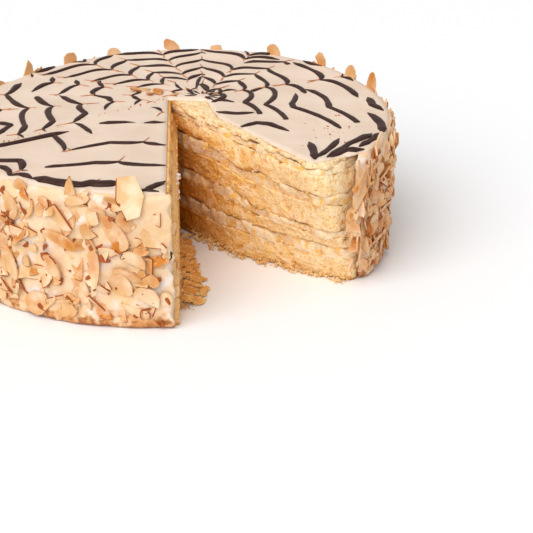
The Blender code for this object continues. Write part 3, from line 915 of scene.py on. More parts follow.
def icing_ring(height, inset, step, rough):
    """Outline of the icing: round the rim, in along the wedge and out along its broken edge."""
    left_rim = reach_wall(ICING_TIP_CORNERS[0], face_direction(LEFT_FACE, HEIGHT), height, inset)
    right_rim = wall_point(radians(ICING_BREAK_ANGLE), height, inset).xy
    first, last = wall_angle(right_rim), wall_angle(left_rim) + tau
    ring = arc(first, last, height, inset, round((last - first) * TOP_RADIUS / step))
    corners = (left_rim, *ICING_TIP_CORNERS, ICING_RIGHT_CORNER, right_rim)
    for number, (start, end) in enumerate(zip(corners, corners[1:])):
        steps = max(1, round((end - start).length / step))
        side = side_of(end - start).normalized() * (rough if number else rough * 0.15)
        for i in range(1, steps + 1):
            point = start.lerp(end, i / steps)
            spot = at_height(point)
            push = noise.noise(spot / 0.007) + 0.5 * noise.noise(spot / 0.0022)
            ring.append(at_height(point + side * push, height))
    return ring[:-1]


def icing_outline(inset):
    """The icing's outline at the top, coarse and unbroken, as flat points."""
    return [corner.xy for corner in icing_ring(HEIGHT, inset, ICING_COARSE_STEP, 0.0)]


def is_inside(point, outline):
    """Whether a point lies inside a flat outline."""
    inside = False
    for start, end in zip(outline, outline[1:] + outline[:1]):
        if (start.y > point.y) != (end.y > point.y):
            crossing = start.x + (end.x - start.x) * (point.y - start.y) / (end.y - start.y)
            if point.x < crossing:
                inside = not inside
    return inside


def from_web(angle, reach):
    """Flat point at an angle in degrees and a distance from the web's centre."""
    return WEB_CENTRE + reach * way_at(radians(angle))


def drag_distances(angle, radius):
    """How far round a circle each drag lies from an angle in degrees."""
    return [abs(radians((angle - drag + 180.0) % 360.0 - 180.0)) * radius for drag, _ in WEB_DRAGS]


def web_pull(angle, radius):
    """How far a stroke at a given radius is dragged outward at an angle in degrees."""
    drags = zip(WEB_DRAGS, drag_distances(angle, radius))
    return sum(strength * math.exp(-distance / WEB_DRAG_REACH) for (_, strength), distance in drags)


def drag_thinning(angle, radius):
    """Share of the full width at an angle: thin where a drag has drawn the stroke out."""
    return 1.0 - WEB_THINNING * math.exp(-(min(drag_distances(angle, radius)) / WEB_THIN_REACH) ** 2)


def run_on(end, before):
    """A mark a little past a stroke's end, in line with the mark before it."""
    turn, climb = end[0] - before[0], end[1] - before[1]
    share = WEB_RUN_ON / math.hypot(climb, radians(turn) * end[1])
    return end[0] + turn * share, end[1] + climb * share


def crossing(drag, start, end):
    """How far past a stretch's start a drag crosses it, and the radius there, or None."""
    (first, near), (last, far) = start, end
    turn = (drag - first) % 360.0
    return (turn, near + (far - near) * turn / (last - first)) if turn <= last - first else None


def web_marks(marks):
    """A stroke's own points, with a point at each drag that it crosses."""
    crossed = list(marks[:1])
    for start, end in zip(marks, marks[1:]):
        found = sorted(filter(None, (crossing(drag, start, end) for drag, _ in WEB_DRAGS)))
        crossed += [(start[0] + turn, radius) for turn, radius in found if 0.0 < turn < end[0] - start[0]]
        crossed.append(end)
    return crossed


def web_line(marks, heavy):
    """A stroke as flat points in even steps with the share of its width at each."""
    line = []
    marks = web_marks(marks)
    for (first, near), (last, far) in zip(marks, marks[1:]):
        length = math.hypot(far - near, radians(last - first) * (near + far) / 2.0)
        count = max(1, round(length / WEB_STEP))
        for i in range(count):
            angle = first + (last - first) * (i / count)
            radius = near + (far - near) * (i / count)
            thinning = 1.0 if heavy else drag_thinning(angle, radius)
            line.append((from_web(angle, radius + web_pull(angle, radius)), thinning))
    return line


def inked(line, width, draw):
    """A stroke as points with half widths: full in its middle and tapered to its ends."""
    lengths = [0.0]
    for (start, _), (end, _) in zip(line, line[1:]):
        lengths.append(lengths[-1] + (end - start).length)
    phase = draw.uniform(0.0, 50.0)
    head = draw.choice(STROKE_HEADS)
    swell, size = STROKE_SWELL
    stroke = []
    for (point, share), length in zip(line, lengths):
        start = min(1.0, head + length / WEB_TAPER)
        end = min(1.0, STROKE_END + (lengths[-1] - length) / WEB_TAPER)
        body = 1.0 + swell * noise.noise(Vector((length / size, phase, 0.0)))
        stroke.append((point, width / 2.0 * share * body * min(start, end)))
    return stroke


def bent_stroke(corners, steps, width, draw):
    """A short stroke that bends once."""
    return inked([(bent(*corners, i / steps), 1.0) for i in range(steps + 1)], width, draw)


def web_strokes(settings):
    """The lines and their tails, each a list of flat points with a half width."""
    outline = icing_outline(ICING_INSET + WEB_MARGIN)
    width = settings.line_width
    draw = random.Random(SEED + 5)
    lines, tails = [], []
    for weight, own in WEB_STROKES:
        marks = [(angle, distance / 1000.0) for angle, distance in own]
        marks = (run_on(marks[0], marks[1]), *marks, run_on(marks[-1], marks[-2]))
        run = []
        for item in web_line(marks, weight > WEB_HEAVY) + [None]:
            if item and is_inside(item[0], outline):
                run.append(item)
                continue
            if len(run) * WEB_STEP > WEB_SHORTEST:
                eased = [((a[0] + b[0] * 2.0 + c[0]) / 4.0, b[1]) for a, b, c in zip(run, run[1:], run[2:])]
                lines.append(inked([run[0], *eased, run[-1]], width * weight, draw))
            run = []
        for drag, strength in WEB_DRAGS:
            found = [crossing(drag, start, end) for start, end in zip(marks, marks[1:])]
            tails += [web_tail(drag, item[1], strength, draw) for item in found if item]
    near, far = STAR_SPAN
    for angle in STAR_ANGLES:
        reach = far * draw.uniform(0.75, 1.15)
        middle = from_web(angle + 10.0, (near + reach) / 2.0)
        corners = (from_web(angle, near), middle, from_web(angle + 4.0, reach))
        lines.append(bent_stroke(corners, 8, width * STAR_WEIGHT, draw))
    for corners in CENTRE_STROKES:
        corners = [Vector(corner) for corner in corners]
        lines.append(bent_stroke(corners, 10, width * CENTRE_WEIGHT, draw))
    return lines, [tail for tail in tails if all(is_inside(point, outline) for point, _ in tail)]


def web_tail(drag, radius, strength, draw):
    """The thin tail that a drag has drawn out of a stroke."""
    way = way_at(radians(drag))
    start = WEB_CENTRE + way * (radius + web_pull(drag, radius) * 0.9)
    length = math.copysign(draw.uniform(*TAIL_LENGTH), strength)
    side = side_of(way) * draw.uniform(-TAIL_BEND, TAIL_BEND)
    shares = [i / 7.0 for i in range(8)]
    return [(start + way * length * share + side * share * share, 1.1 - 0.85 * share)
            for share in shares]


def stroke_mesh(name, strokes, sides, flatness, scale=1.0):
    """A bmesh of piped strokes: bevelled curves, flattened and laid on the icing."""
    curve = bpy.data.curves.new(name, "CURVE")
    curve.dimensions = "3D"
    curve.bevel_depth = 1.0
    curve.bevel_resolution = sides
    curve.use_fill_caps = True
    for stroke in strokes:
        spline = curve.splines.new("POLY")
        spline.points.add(len(stroke) - 1)
        for control, (point, half) in zip(spline.points, stroke):
            control.co = (point.x, point.y, 0.0, 1.0)
            control.radius = half * scale
    work = taken_bmesh(add_object(name, curve))
    bmesh.ops.remove_doubles(work, verts=work.verts, dist=0.00001)
    bmesh.ops.scale(work, verts=work.verts, vec=(1.0, 1.0, flatness))
    bmesh.ops.translate(work, verts=work.verts, vec=(0.0, 0.0, HEIGHT - SUNK))
    return work


def point_tree(points):
    """A tree that finds the nearest of some flat points."""
    tree = KDTree(len(points))
    for number, point in enumerate(points):
        tree.insert(at_height(point), number)
    tree.balance()
    return tree


def score_distance(point):
    """Flat distance to the scored line, and how far along it the nearest point lies, 0 to 1."""
    found = []
    for number, (start, end) in enumerate(zip(SCORE, SCORE[1:])):
        way = end - start
        share = min(max((point - start).dot(way) / way.length_squared, 0.0), 1.0)
        found.append(((point - start - way * share).length, (number + share) / (len(SCORE) - 1)))
    return min(found)


def icing_height(point, edge, lines, settings):
    """Height of the icing at a point: slow waves, round edges, the bed of each line and the
    scored line."""
    spot = at_height(point)
    height = HEIGHT - settings.waviness + settings.waviness * noise.noise(spot / ICING_WAVE)
    height -= rounding(edge.find(spot)[2], ICING_EDGE)
    rise, reach = LINE_RIDGE
    height += rise * math.exp(-((lines.find(spot)[2] - settings.line_width * 0.7) / reach) ** 2)
    away, where = score_distance(point.xy)
    middle, reach = SCORE_RIDGE
    ridge = math.exp(-((away - middle) / reach) ** 2) - 0.8 * math.exp(-(away / SCORE_GROOVE) ** 2)
    broken = 0.6 + 0.8 * noise.noise(spot / SCORE_BREAK)
    return height + settings.score * ridge * broken * (1.0 - 0.7 * where)


def build_icing(settings, lines, look):
    """The sheet of icing, cut to its outline and rounded."""
    half = TOP_RADIUS * 1.08
    cells = round(2.0 * half / ICING_CELL)
    work = bmesh.new()
    bmesh.ops.create_grid(work, x_segments=cells, y_segments=cells, size=half,
                          matrix=Matrix.Translation((0.0, 0.0, HEIGHT)))
    rim = [edge for edge in work.edges if edge.is_boundary]
    skirt = bmesh.ops.extrude_edge_only(work, edges=rim)["geom"]
    for vert in (item for item in skirt if isinstance(item, bmesh.types.BMVert)):
        vert.co.z = ICING_FOOT + GAP - ICING_THICKNESS
    loop = [item for item in skirt if isinstance(item, bmesh.types.BMEdge) and item.is_boundary]
    bmesh.ops.contextual_create(work, geom=loop)
    bmesh.ops.recalc_face_normals(work, faces=work.faces)
    sheet = add_object("icing_sheet", kept_mesh("icing_sheet", work))
    work = bmesh.new()
    outline = icing_ring(ICING_FOOT + GAP, ICING_INSET, ICING_EDGE_STEP, ICING_EDGE_CRUMBLE)
    loft(work, [outline, [at_height(point, HEIGHT + ICING_THICKNESS) for point in outline]])
    bmesh.ops.recalc_face_normals(work, faces=work.faces)
    cutter = add_object("icing_outline", kept_mesh("icing_outline", work))
    change = sheet.modifiers.new("cut", "BOOLEAN")
    change.operation = "INTERSECT"
    change.object = cutter
    change.solver = "MANIFOLD"
    work = taken_bmesh(sheet)
    bpy.data.objects.remove(cutter)
    edge = point_tree(outline)
    near = point_tree([point for line in lines for point, _ in line])
    for vert in work.verts:
        if vert.co.z > HEIGHT - SUNK:
            vert.co.z = icing_height(vert.co, edge, near, settings)
    finish_piece(work, "icing_sheet", [look], ("top_icing",))


class TORTE_OT_icing(bpy.types.Operator):
    """Make the icing, the piped web on it and the web's drawn-out tails"""

    bl_idname = "torte.icing"
    bl_label = "Icing and web"

    def execute(self, context):
        settings = context.scene.torte_icing
        lines, tails = web_strokes(settings)
        build_icing(settings, lines, icing_look(settings))
        dark = mottled_look("piped_chocolate", settings.chocolate, (0.45, 0.20), (0.003, 0.45, 0.75),
                            (1.7, 1.6, 1.5), (0.0015, 0.0003, 0.4))
        finish_piece(stroke_mesh("web_lines", lines, 2, 0.5), "web_lines", [dark])
        thin = mottled_look("chocolate_tails", settings.tail, (0.40, 0.35), (0.003, 0.35, 0.65),
                            (1.7, 2.0, 2.0), (0.0012, 0.0002, 0.3))
        drawn = stroke_mesh("web_tails", tails, 1, 0.6, settings.tail_width / 2.0)
        finish_piece(drawn, "web_tails", [thin])
        return {"FINISHED"}


# ---------------------------------------------------------------- side coat and almonds


def coat_span():
    """First and last angle of the coat, which has come away at the right corner."""
    left_rim = reach_wall(TIP, face_direction(LEFT_FACE, HEIGHT), HEIGHT, 0.0)
    return radians(COAT_RIGHT_END), wall_angle(left_rim) + tau


def ragged_start(height):
    """Angle where the coat's broken end lies at a height."""
    base, top = COAT_RAGGED_END
    wander = 0.6 + noise.noise(Vector((height / COAT_WANDER, 3.7, 1.9)))
    reach = smooth_share(height, 0.0, 0.045) * min(wander, 1.0)
    nick = COAT_NICK * noise.noise(Vector((height / COAT_NICK_SIZE, 1.4, 6.2)))
    return radians(base + nick + (top - base) * max(reach, 0.0))


def coat_section(share, end, lumps):
    """Section of the coat at a share of its way round: up its lumpy front and down its back."""
    top = ICING_FOOT + COAT_OVERLAP
    back = COAT_CUT_BACK / TOP_RADIUS
    section = []
    for i in range(COAT_ROWS + 1):
        height = COAT_FOOT + (top - COAT_FOOT) * i / COAT_ROWS
        first = ragged_start(height)
        last = end - back * (1.0 + noise.noise(Vector((height / COAT_END_WAVE, 8.0, 2.0))))
        angle = first + (last - first) * share
        inset = rounding(top - height, COAT_TOP_EDGE) + rounding(height - COAT_FOOT, COAT_FOOT_EDGE)
        inset -= lumps * relief(wall_point(angle, height), COAT_NOISE) + COAT_SWELL
        thin = 1.0 - smooth_share((angle - first) * TOP_RADIUS, -COAT_TAPER, COAT_TAPER)
        section.append(wall_point(angle, height, inset + 1.5 * thin * (COAT_THICKNESS - inset)))
    for i in range(COAT_BACK_ROWS):
        height = ICING_FOOT + (COAT_FOOT - ICING_FOOT) * i / (COAT_BACK_ROWS - 1)
        first = ragged_start(height)
        section.append(wall_point(first + (end - back - first) * share, height, COAT_THICKNESS))
    return section


def build_coat(settings, look):
    """The lumpy cream round the side."""
    first, last = coat_span()
    steps = round((last - first) * TOP_RADIUS / COAT_STEP)
    work = bmesh.new()
    loft(work, [coat_section(i / steps, last, settings.lumps) for i in range(steps + 1)])
    finish_piece(work, "side_cream", [look], ("side_coat",))


def flake_template(draw, sides, broken, wavy):
    """A mesh of one unit flake, 1 long and 1 wide: a flat, uneven oval with skin on part of its rim."""
    work = bmesh.new()
    bmesh.ops.create_circle(work, cap_ends=True, segments=sides, radius=0.5)
    phase = draw.uniform(0.0, tau)
    for vert in work.verts:
        turn = math.atan2(vert.co.y, vert.co.x)
        vert.co *= 1.0 + wavy * math.sin(3.0 * turn + phase) + wavy * draw.uniform(-0.6, 0.6)
    for _ in range(draw.choice((1, 1, 2)) if broken else 0):
        way = at_height(way_at(draw.uniform(0.0, tau)))
        geometry = work.verts[:] + work.edges[:] + work.faces[:]
        bmesh.ops.bisect_plane(work, geom=geometry, plane_co=way * draw.uniform(0.02, 0.22),
                               plane_no=way, clear_outer=True)
    bottom = work.faces[:][0]
    top = new_face(bmesh.ops.extrude_face_region(work, geom=[bottom, *bottom.edges])["geom"])
    bmesh.ops.translate(work, verts=top.verts[:], vec=(0.0, 0.0, 1.0))
    bmesh.ops.inset_individual(work, faces=[top], thickness=RIM_SKIN, depth=0.0)
    rim = [face for face in work.faces if face is not top and face.normal.z > 0.5]
    bmesh.ops.inset_individual(work, faces=[top], thickness=RIM_BROWN, depth=0.0)
    bmesh.ops.poke(work, faces=[top])
    spread = draw.choice(SKIN_SPREADS)
    for face in work.faces:
        middle = face.calc_center_median()
        turn = (math.atan2(middle.y, middle.x) - phase + math.pi) % tau - math.pi
        side = abs(face.normal.z) < 0.5 or face in rim
        face.material_index = 1 if side and abs(turn) < spread else 0
    for edge in work.edges:
        edge.smooth = len({face.normal.to_tuple(1) for face in edge.link_faces}) < 2
    return kept_mesh("flake_kind", work)


def wall_matrix(place):
    """Where a flake lies on the wall."""
    angle, height, _, _, spin, lean, lean_axis, lift = place
    out = at_height(way_at(angle))
    facing = Matrix((at_height(side_of(out)), Vector((0.0, 0.0, 1.0)), out)).transposed().to_4x4()
    tilt = Matrix.Rotation(lean, 4, at_height(way_at(lean_axis)))
    spot = wall_point(angle, height, -lift)
    return Matrix.Translation(spot) @ facing @ tilt @ Matrix.Rotation(spin, 4, "Z")


def place_flake(target, template, matrix, size, toast, cup):
    """Add a copy of a template flake at a place. Its toast, which goes from one value to another
    along the flake, and its browned edge are stored on its points."""
    length, width = size
    count = len(target.verts)
    target.from_mesh(template)
    target.verts.ensure_lookup_table()
    toast_layer = target.verts.layers.float["toast"]
    edge_layer = target.verts.layers.float["edge"]
    low, high = toast
    for vert in target.verts[count:]:
        x, y, z = vert.co
        rim = 4.0 * (x * x + y * y)
        vert[toast_layer] = (low + (high - low) * (x + 0.5)) * (1.0 - 0.45 * rim)
        vert[edge_layer] = 0.30 if z < 0.5 else 0.25 * smooth_share(rim, 0.80, 1.0)
        rise = (z - 0.5) * FLAKE_THICKNESS * 0.65 + (cup * (4.0 * x * x - 1.0) + cup * 0.6 * y)
        vert.co = matrix @ Vector((x * length, y * (1.0 - FLAKE_TAPER * x) * width, rise))


def flake_size(draw):
    """Length and width of one flake."""
    length = draw.uniform(*FLAKE_LENGTH)
    return length, length * draw.uniform(*FLAKE_WIDTH_SHARE)


def flake_places(draw):
    """Places of the flakes that lie in the coat: staggered rows with some scatter."""
    first, last = coat_span()
    margin = FLAKE_FOOTROOM / TOP_RADIUS
    low = COAT_FOOT + FLAKE_FOOTROOM
    high = ICING_FOOT - FLAKE_HEADROOM
    places = []
    for row in range(FLAKE_ROWS):
        for column in range(FLAKE_COLUMNS):
            share = (column + 0.5 * (row % 2) + draw.uniform(-FLAKE_JITTER, FLAKE_JITTER)) / FLAKE_COLUMNS
            angle = min(max(first + (last - first) * share, first + margin), last - margin)
            height = low + (high - low) * row / (FLAKE_ROWS - 1)
            height += draw.uniform(-FLAKE_SCATTER, FLAKE_SCATTER)
            length, width = flake_size(draw)
            lean = radians(draw.uniform(0.0, FLAKE_LEAN))
            lift = width / 3.0 * math.sin(lean) + FLAKE_THICKNESS / 2.0 - FLAKE_SINK
            spin = draw.uniform(0.0, tau)
            places.append((angle, height, length, width, spin, lean, spin, lift))
    return places


def rim_flake_places(draw):
    """Places of the flakes that stand up past the rim, outside the icing."""
    first, last = coat_span()
    places = []
    for number in range(RIM_FLAKES):
        share = (number + draw.uniform(0.2, 0.8)) / RIM_FLAKES
        length, width = flake_size(draw)
        height = HEIGHT + draw.uniform(*RIM_FLAKE_RISE) - length / 2.0
        spin = radians(90.0 + draw.uniform(-RIM_FLAKE_TURN, RIM_FLAKE_TURN))
        lean = radians(draw.uniform(*RIM_FLAKE_LEAN))
        lift = FLAKE_THICKNESS / 2.0 - FLAKE_SINK
        places.append((first + (last - first) * share, height, length, width, spin, lean, 0.0, lift))
    return places


def front_places():
    """Places of the flakes that stand out at the front, with the toast of each."""
    places = []
    for angle, height, length, width, spin, lean, toast in FRONT_FLAKES:
        spin, lean = radians(spin), radians(lean)
        lift = width / 3.0 * math.sin(lean) + FLAKE_THICKNESS * 0.7
        places.append(((radians(angle) + tau, height, length, width, spin, lean, spin, lift), toast))
    return places


def leaning_place():
    """Place of the flake that leans on the rim at the front."""
    angle, height, length, width, spin, lean, _ = LEANING_FLAKE
    turn, tilt = radians(spin), radians(lean)
    return radians(angle) + tau, height, length, width, turn, tilt, 0.0, FLAKE_THICKNESS


def clear_of(places, others, clear):
    """The places that lie clear of others by a distance."""
    spots = [wall_point(*other[:2]) for other in others]
    return [place for place in places
            if all((wall_point(*place[:2]) - spot).length > clear for spot in spots)]


def small_places(draw, count, size, lift_span, lean):
    """Places of small pieces, scattered all over the coat."""
    last = coat_span()[1]
    places = []
    for _ in range(count):
        length = draw.uniform(*size)
        width = length * draw.uniform(0.45, 0.85)
        margin = length * 0.6
        height = draw.uniform(COAT_FOOT + margin, ICING_FOOT - margin * 0.4)
        start = ragged_start(height) + margin / TOP_RADIUS
        angle = draw.uniform(start, last - margin / TOP_RADIUS)
        spin = draw.uniform(0.0, tau)
        tilt = radians(draw.uniform(0.0, lean))
        places.append((angle, height, length, width, spin, tilt, spin, draw.uniform(*lift_span)))
    return places


def steep_places(draw, count):
    """Places of the flakes right of the cut, which stand out from the wall on their long edges."""
    places = []
    for _ in range(count):
        length = draw.uniform(*STEEP_LENGTH)
        width = length * draw.uniform(0.35, 0.6)
        height = draw.uniform(COAT_FOOT + length * 0.6, HEIGHT - length * 0.5)
        angle = radians(draw.uniform(*STEEP_SPAN))
        spin = radians(90.0 + draw.uniform(-STEEP_TURN, STEEP_TURN))
        lean = radians(draw.uniform(*STEEP_LEAN)) * draw.choice((-1.0, 1.0))
        places.append((angle, height, length, width, spin, lean, spin, draw.uniform(-0.0002, 0.0012)))
    return places


def rim_bits(standing, draw):
    """Places of smaller pieces that lie beside some of the flakes at the rim."""
    bits = []
    for angle, height, length, width, _, _, _, lift in standing:
        for _ in range(draw.choice((0, 1, 1, 2))):
            spin = draw.uniform(0.0, math.pi)
            share = draw.uniform(0.45, 0.80)
            drop = draw.uniform(0.000, 0.006)
            aside = draw.choice((-1.0, 1.0)) * draw.uniform(0.004, 0.009) / TOP_RADIUS
            lean = radians(draw.uniform(-30.0, 30.0))
            size = length * share, width * share
            bits.append((angle + aside, height - drop, *size, spin, lean, spin, lift))
    return bits


def scatter_flakes(name, places, sides, looks, draw, wavy=0.09, broken=True):
    """All flakes of one kind as one piece. Each place is on the wall or a matrix with a size, and
    comes with its toast, or None for a draw."""
    templates = [flake_template(draw, sides, broken, wavy) for _ in range(FLAKE_KINDS)]
    work = bmesh.new()
    work.verts.layers.float.new("toast")
    work.verts.layers.float.new("edge")
    for place, toast in places:
        if toast is None:
            toast = draw.choice(FLAKE_TOASTS)
        tilt = draw.uniform(-0.6, 0.6)
        cup = draw.uniform(-0.0001, 0.0005)
        matrix, size = place if len(place) == 2 else (wall_matrix(place), place[2:4])
        if draw.random() < 0.5:
            matrix = matrix @ Matrix.Rotation(math.pi, 4, "Z")
        place_flake(work, draw.choice(templates), matrix, size, (toast - tilt, toast + tilt), cup)
    for mesh in templates:
        bpy.data.meshes.remove(mesh)
    finish_piece(work, name, looks)


class TORTE_OT_coat(bpy.types.Operator):
    """Make the side cream with its flaked almonds"""

    bl_idname = "torte.coat"
    bl_label = "Side cream and almonds"

    def execute(self, context):
        settings = context.scene.torte_coat
        build_coat(settings, coat_look(settings))
        skin = mottled_look("almond_skin", settings.skin, (0.6, 0.3), (0.002, 0.35, 0.7), (1.5, 1.9, 1.9),
                            (0.0006, 0.0003, 0.6))
        looks = [almond_look(settings), skin]
        draw = random.Random(SEED + 2)
        lying = flake_places(draw)
        front = front_places()
        leaning = leaning_place()
        taken = [place for place, _ in front] + [leaning]
        standing = clear_of(rim_flake_places(draw), [leaning], BROKEN_CLEAR * 2.0)
        lying = clear_of(lying, taken, FLAKE_CLEAR)
        whole = [(place, None) for place in lying[::2] + standing[::3]]
        whole += [item for item in front if item[1] >= BROKEN_TOAST]
        scatter_flakes("almond_flakes", whole, 16, looks, draw, 0.045, False)
        scatter_flakes("leaning_flake", [(leaning, LEANING_FLAKE[-1])], 6, looks, draw, 0.15, False)
        broken = clear_of(small_places(draw, settings.broken, *BROKEN_PIECES), taken, BROKEN_CLEAR)
        broken += lying[1::2] + standing[1::3] + standing[2::3] + rim_bits(standing, draw)
        broken = [(place, None) for place in broken] + [item for item in front if item[1] < BROKEN_TOAST]
        scatter_flakes("broken_flakes", broken, 12, looks, draw)
        steep = [(place, draw.uniform(0.1, 1.3)) for place in steep_places(draw, settings.steep)]
        scatter_flakes("steep_flakes", steep, 10, looks, draw)
        chips = [(place, 0.0) for place in small_places(draw, settings.chips, *CHIP_PIECES)]
        scatter_flakes("skin_chips", chips, 9, [skin, skin], draw)
        return {"FINISHED"}


# ---------------------------------------------------------------- crumbs


def face_point(side, share, height, out):
    """Point on a cut face at a share of its length, set out from the face."""
    if side == "left":
        way = face_direction(LEFT_FACE, height)
        return at_height(TIP + way * FACE_LENGTH * share + side_of(way) * out, height)
    tip, bend, corner = right_face_line(height, COAT_THICKNESS + GAP, 0.0)
    split = RIGHT_BEND / FACE_LENGTH
    if share < split:
        start, end, part = tip, bend, share / split
    else:
        start, end, part = bend, corner, (share - split) / (1.0 - split)
    return at_height(start.lerp(end, part) - side_of((end - start).normalized()) * out, height)


def scatter_crumbs(name, places, look, draw):
    """Rough little lumps as one piece, each at a place with its size and its distance from the tip."""
    lump = bmesh.new()
    bmesh.ops.create_icosphere(lump, subdivisions=1, radius=0.5)
    mesh = kept_mesh("crumb_kind", lump)
    work = bmesh.new()
    along = work.verts.layers.float.new("along")
    for spot, size in places:
        count = len(work.verts)
        work.from_mesh(mesh)
        work.verts.ensure_lookup_table()
        turn = Matrix.Rotation(draw.uniform(0.0, tau), 3, Vector((draw.random(), draw.random(), 1.0)))
        stretch = Vector((draw.uniform(0.8, 1.5), draw.uniform(0.7, 1.1), draw.uniform(0.6, 1.0))) * size
        for vert in work.verts[count:]:
            vert.co = spot + turn @ Vector(a * b * draw.uniform(0.8, 1.2) for a, b in zip(vert.co, stretch))
            vert[along] = (spot.xy - TIP).length
    bpy.data.meshes.remove(mesh)
    finish_piece(work, name, [look], smooth=False)


def crumb_size(draw, span):
    """Size of a crumb within a span: most are small."""
    small, large = span
    return small + (large - small) * draw.random() ** 2


def face_crumb_places(count, draw):
    """Crumbs that cling to the cut faces and to the bare shelf beside the icing."""
    places = []
    for number in range(count):
        side = "right" if number % 3 else "left"
        size = crumb_size(draw, FACE_CRUMBS)
        spot = face_point(side, draw.uniform(0.03, 0.97), draw.uniform(0.002, 0.069), size * 0.15)
        places.append((spot, size))
    return places


def skirt_places(count, draw):
    """Crumbs heaped against the foot of both cut faces, more of them at the left one."""
    places = []
    for number in range(count):
        left = number % 5 < 3
        share = draw.uniform(0.10, 0.99)
        size = crumb_size(draw, FOOT_CRUMBS)
        heap = HEAP + HEAP * noise.noise(Vector((share * 14.0, 2.0 if left else 7.0, 0.0)))
        if left:
            heap *= 1.0 + 1.3 * share
        away = heap * 1.6 * draw.random() ** 1.6
        rise = max(0.0, heap * 0.7 - away) * draw.random() + size * 0.75
        places.append((at_height(face_point("left" if left else "right", share, 0.0, away), rise), size))
    return places


def crust_places(count, draw):
    """Places of thin golden pieces that lie at the foot of the left cut."""
    places = []
    for _ in range(count):
        share = draw.uniform(0.22, 0.93)
        away = CRUST_REACH * min(1.0, share * 1.3) * draw.random()
        length = draw.uniform(*CRUST_LENGTH)
        tilt = radians(draw.uniform(0.0, 12.0))
        spot = face_point("left", share, 0.0, away)
        heap = draw.uniform(0.0, CRUST_HEAP) * (1.0 - away / CRUST_REACH)
        spot.z = CRUST_LIFT + length * 0.6 * math.sin(tilt) + heap
        turn = Matrix.Rotation(draw.uniform(0.0, tau), 4, "Z") @ Matrix.Rotation(tilt, 4, "X")
        places.append(((Matrix.Translation(spot) @ turn, (length, length * 0.8)), None))
    return places


def icing_bits():
    """Places of the bits of almond that lie on the icing, with the toast of each."""
    places = []
    for x, y, length, width, turn, toast in ICING_BITS:
        lying = Matrix.Translation((x, y, HEIGHT + 0.0006))
        turned = lying @ Matrix.Rotation(radians(turn), 4, "Z") @ Matrix.Rotation(0.15, 4, "Y")
        places.append(((turned, (length, width)), toast))
    return places


def pale_places(draw):
    """White crumbs that hang on the left cut."""
    places = []
    for share, height, count in PALE_CRUMBS:
        for _ in range(count):
            size = draw.uniform(*PALE_SIZE)
            out = share + draw.gauss(0.0, PALE_SPREAD) / FACE_LENGTH
            rise = height + draw.gauss(0.0, PALE_SPREAD)
            places.append((face_point("left", out, rise, size * 0.3), size))
    return places


def stray_places(count, draw):
    """Brown crumbs on the icing: along the scored line and towards the right front."""
    places = []
    for number in range(count):
        size = crumb_size(draw, STRAY_CRUMBS)
        if number % 3:
            piece = draw.randrange(len(SCORE) - 1)
            spot = SCORE[piece].lerp(SCORE[piece + 1], draw.random())
            spot = spot + Vector((draw.gauss(0.0, 0.0012), draw.gauss(0.0, 0.0012)))
        else:
            spot = Vector((draw.gauss(0.083, 0.008), draw.gauss(-0.033, 0.014)))
        places.append((at_height(spot, HEIGHT - SUNK), size))
    return places


class TORTE_OT_crumbs(bpy.types.Operator):
    """Scatter the crumbs on the cut faces, at their foot and on the icing"""

    bl_idname = "torte.crumbs"
    bl_label = "Crumbs"

    def execute(self, context):
        settings = context.scene.torte_crumbs
        draw = random.Random(SEED + 8)
        golden = crumb_look("sponge_crumbs", settings.golden)
        brown = crumb_look("nut_crumbs", settings.brown)
        clinging = face_crumb_places(settings.clinging, draw)
        scatter_crumbs("face_crumbs", clinging, face_crumb_look(context.scene.torte_layers), draw)
        scatter_crumbs("foot_crumbs", skirt_places(settings.skirt, draw), golden, draw)
        crisp = crumb_look("foot_crust", tinted(settings.golden, 1.08, 0.92, 0.70))
        scatter_flakes("foot_crusts", crust_places(settings.crusts, draw), 9, [crisp, crisp], draw)
        almond = almond_look(context.scene.torte_coat)
        scatter_flakes("icing_bits", icing_bits(), 10, [almond, brown], draw)
        white = crumb_look("cream_crumbs", settings.white)
        scatter_crumbs("pale_crumbs", pale_places(draw), white, draw)
        scatter_crumbs("stray_crumbs", stray_places(settings.strays, draw), brown, draw)
        return {"FINISHED"}


# ---------------------------------------------------------------- stage


def add_floor(colour):
    """A pale floor far wider than the view."""
    work = bmesh.new()
    bmesh.ops.create_grid(work, x_segments=1, y_segments=1, size=4.0)
    floor = add_object("floor", kept_mesh("floor", work))
    look = Look("pale_floor", colour, 0.5, 0.2)
    look.lay(look.noise(0.4), tinted(colour, 0.99, 0.99, 0.99))
    floor.data.materials.append(look.finish())


def add_light(strength):
    """A soft light as from a wide window."""
    light = bpy.data.lights.new("key", "SUN")
    light.energy = strength
    light.angle = radians(KEY_SOFTNESS)
    turn = (radians(90.0 - KEY_ELEVATION), 0.0, radians(KEY_AZIMUTH + 90.0))
    add_object("key", light).rotation_euler = turn


def add_camera():
    """The camera, which looks down a little at the cut."""
    lens = bpy.data.cameras.new("camera")
    lens.sensor_width = CAMERA_SENSOR
    lens.lens = CAMERA_LENS
    camera = add_object("camera", lens)
    camera.matrix_world = Matrix.Translation(CAMERA_PLACE)
    for angle, axis in ((-CAMERA_YAW, "Z"), (90.0 - CAMERA_PITCH, "X"), (CAMERA_ROLL, "Z")):
        camera.matrix_world = camera.matrix_world @ Matrix.Rotation(radians(angle), 4, axis)
    bpy.context.scene.camera = camera


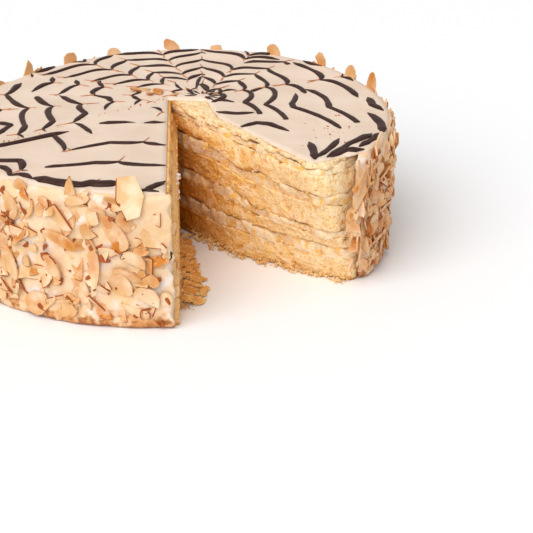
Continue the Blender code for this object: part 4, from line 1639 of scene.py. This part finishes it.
class TORTE_OT_stage(bpy.types.Operator):
    """Set the floor, the light and the camera"""

    bl_idname = "torte.stage"
    bl_label = "Floor, light and camera"

    def execute(self, context):
        settings = context.scene.torte_stage
        add_floor(settings.floor)
        world = bpy.data.worlds.new("soft_room")
        world.use_nodes = True
        sky = world.node_tree.nodes["Background"]
        sky.inputs["Color"].default_value = (1.0, 1.0, 1.0, 1.0)
        sky.inputs["Strength"].default_value = settings.fill
        context.scene.world = world
        add_light(settings.key)
        add_camera()
        context.scene.view_settings.view_transform = "Standard"
        return {"FINISHED"}


class TORTE_PT_pieces(bpy.types.Panel):
    """The torte's pieces"""

    bl_label = "Esterhazy torte"
    bl_idname = "TORTE_PT_pieces"
    bl_space_type = "VIEW_3D"
    bl_region_type = "UI"
    bl_category = "Torte"

    def draw(self, context):
        for operator in OPERATORS:
            self.layout.operator(operator.bl_idname)


GROUPS = (
    ("torte_layers", TorteLayerSettings),
    ("torte_icing", TorteIcingSettings),
    ("torte_coat", TorteCoatSettings),
    ("torte_crumbs", TorteCrumbSettings),
    ("torte_stage", TorteStageSettings),
)
OPERATORS = (TORTE_OT_layers, TORTE_OT_icing, TORTE_OT_coat, TORTE_OT_crumbs, TORTE_OT_stage)


def register():
    """Register the settings, the operators and the panel."""
    for name, group in GROUPS:
        bpy.utils.register_class(group)
        setattr(bpy.types.Scene, name, PointerProperty(type=group))
    for operator in OPERATORS:
        bpy.utils.register_class(operator)
    bpy.utils.register_class(TORTE_PT_pieces)


def unregister():
    """Take back what register made."""
    bpy.utils.unregister_class(TORTE_PT_pieces)
    for operator in reversed(OPERATORS):
        bpy.utils.unregister_class(operator)
    for name, group in reversed(GROUPS):
        delattr(bpy.types.Scene, name)
        bpy.utils.unregister_class(group)


def main():
    """Dress the torte and set its stage."""
    register()
    bpy.ops.torte.layers()
    bpy.ops.torte.icing()
    bpy.ops.torte.coat()
    bpy.ops.torte.crumbs()
    bpy.ops.torte.stage()


if __name__ == "__main__":
    main()
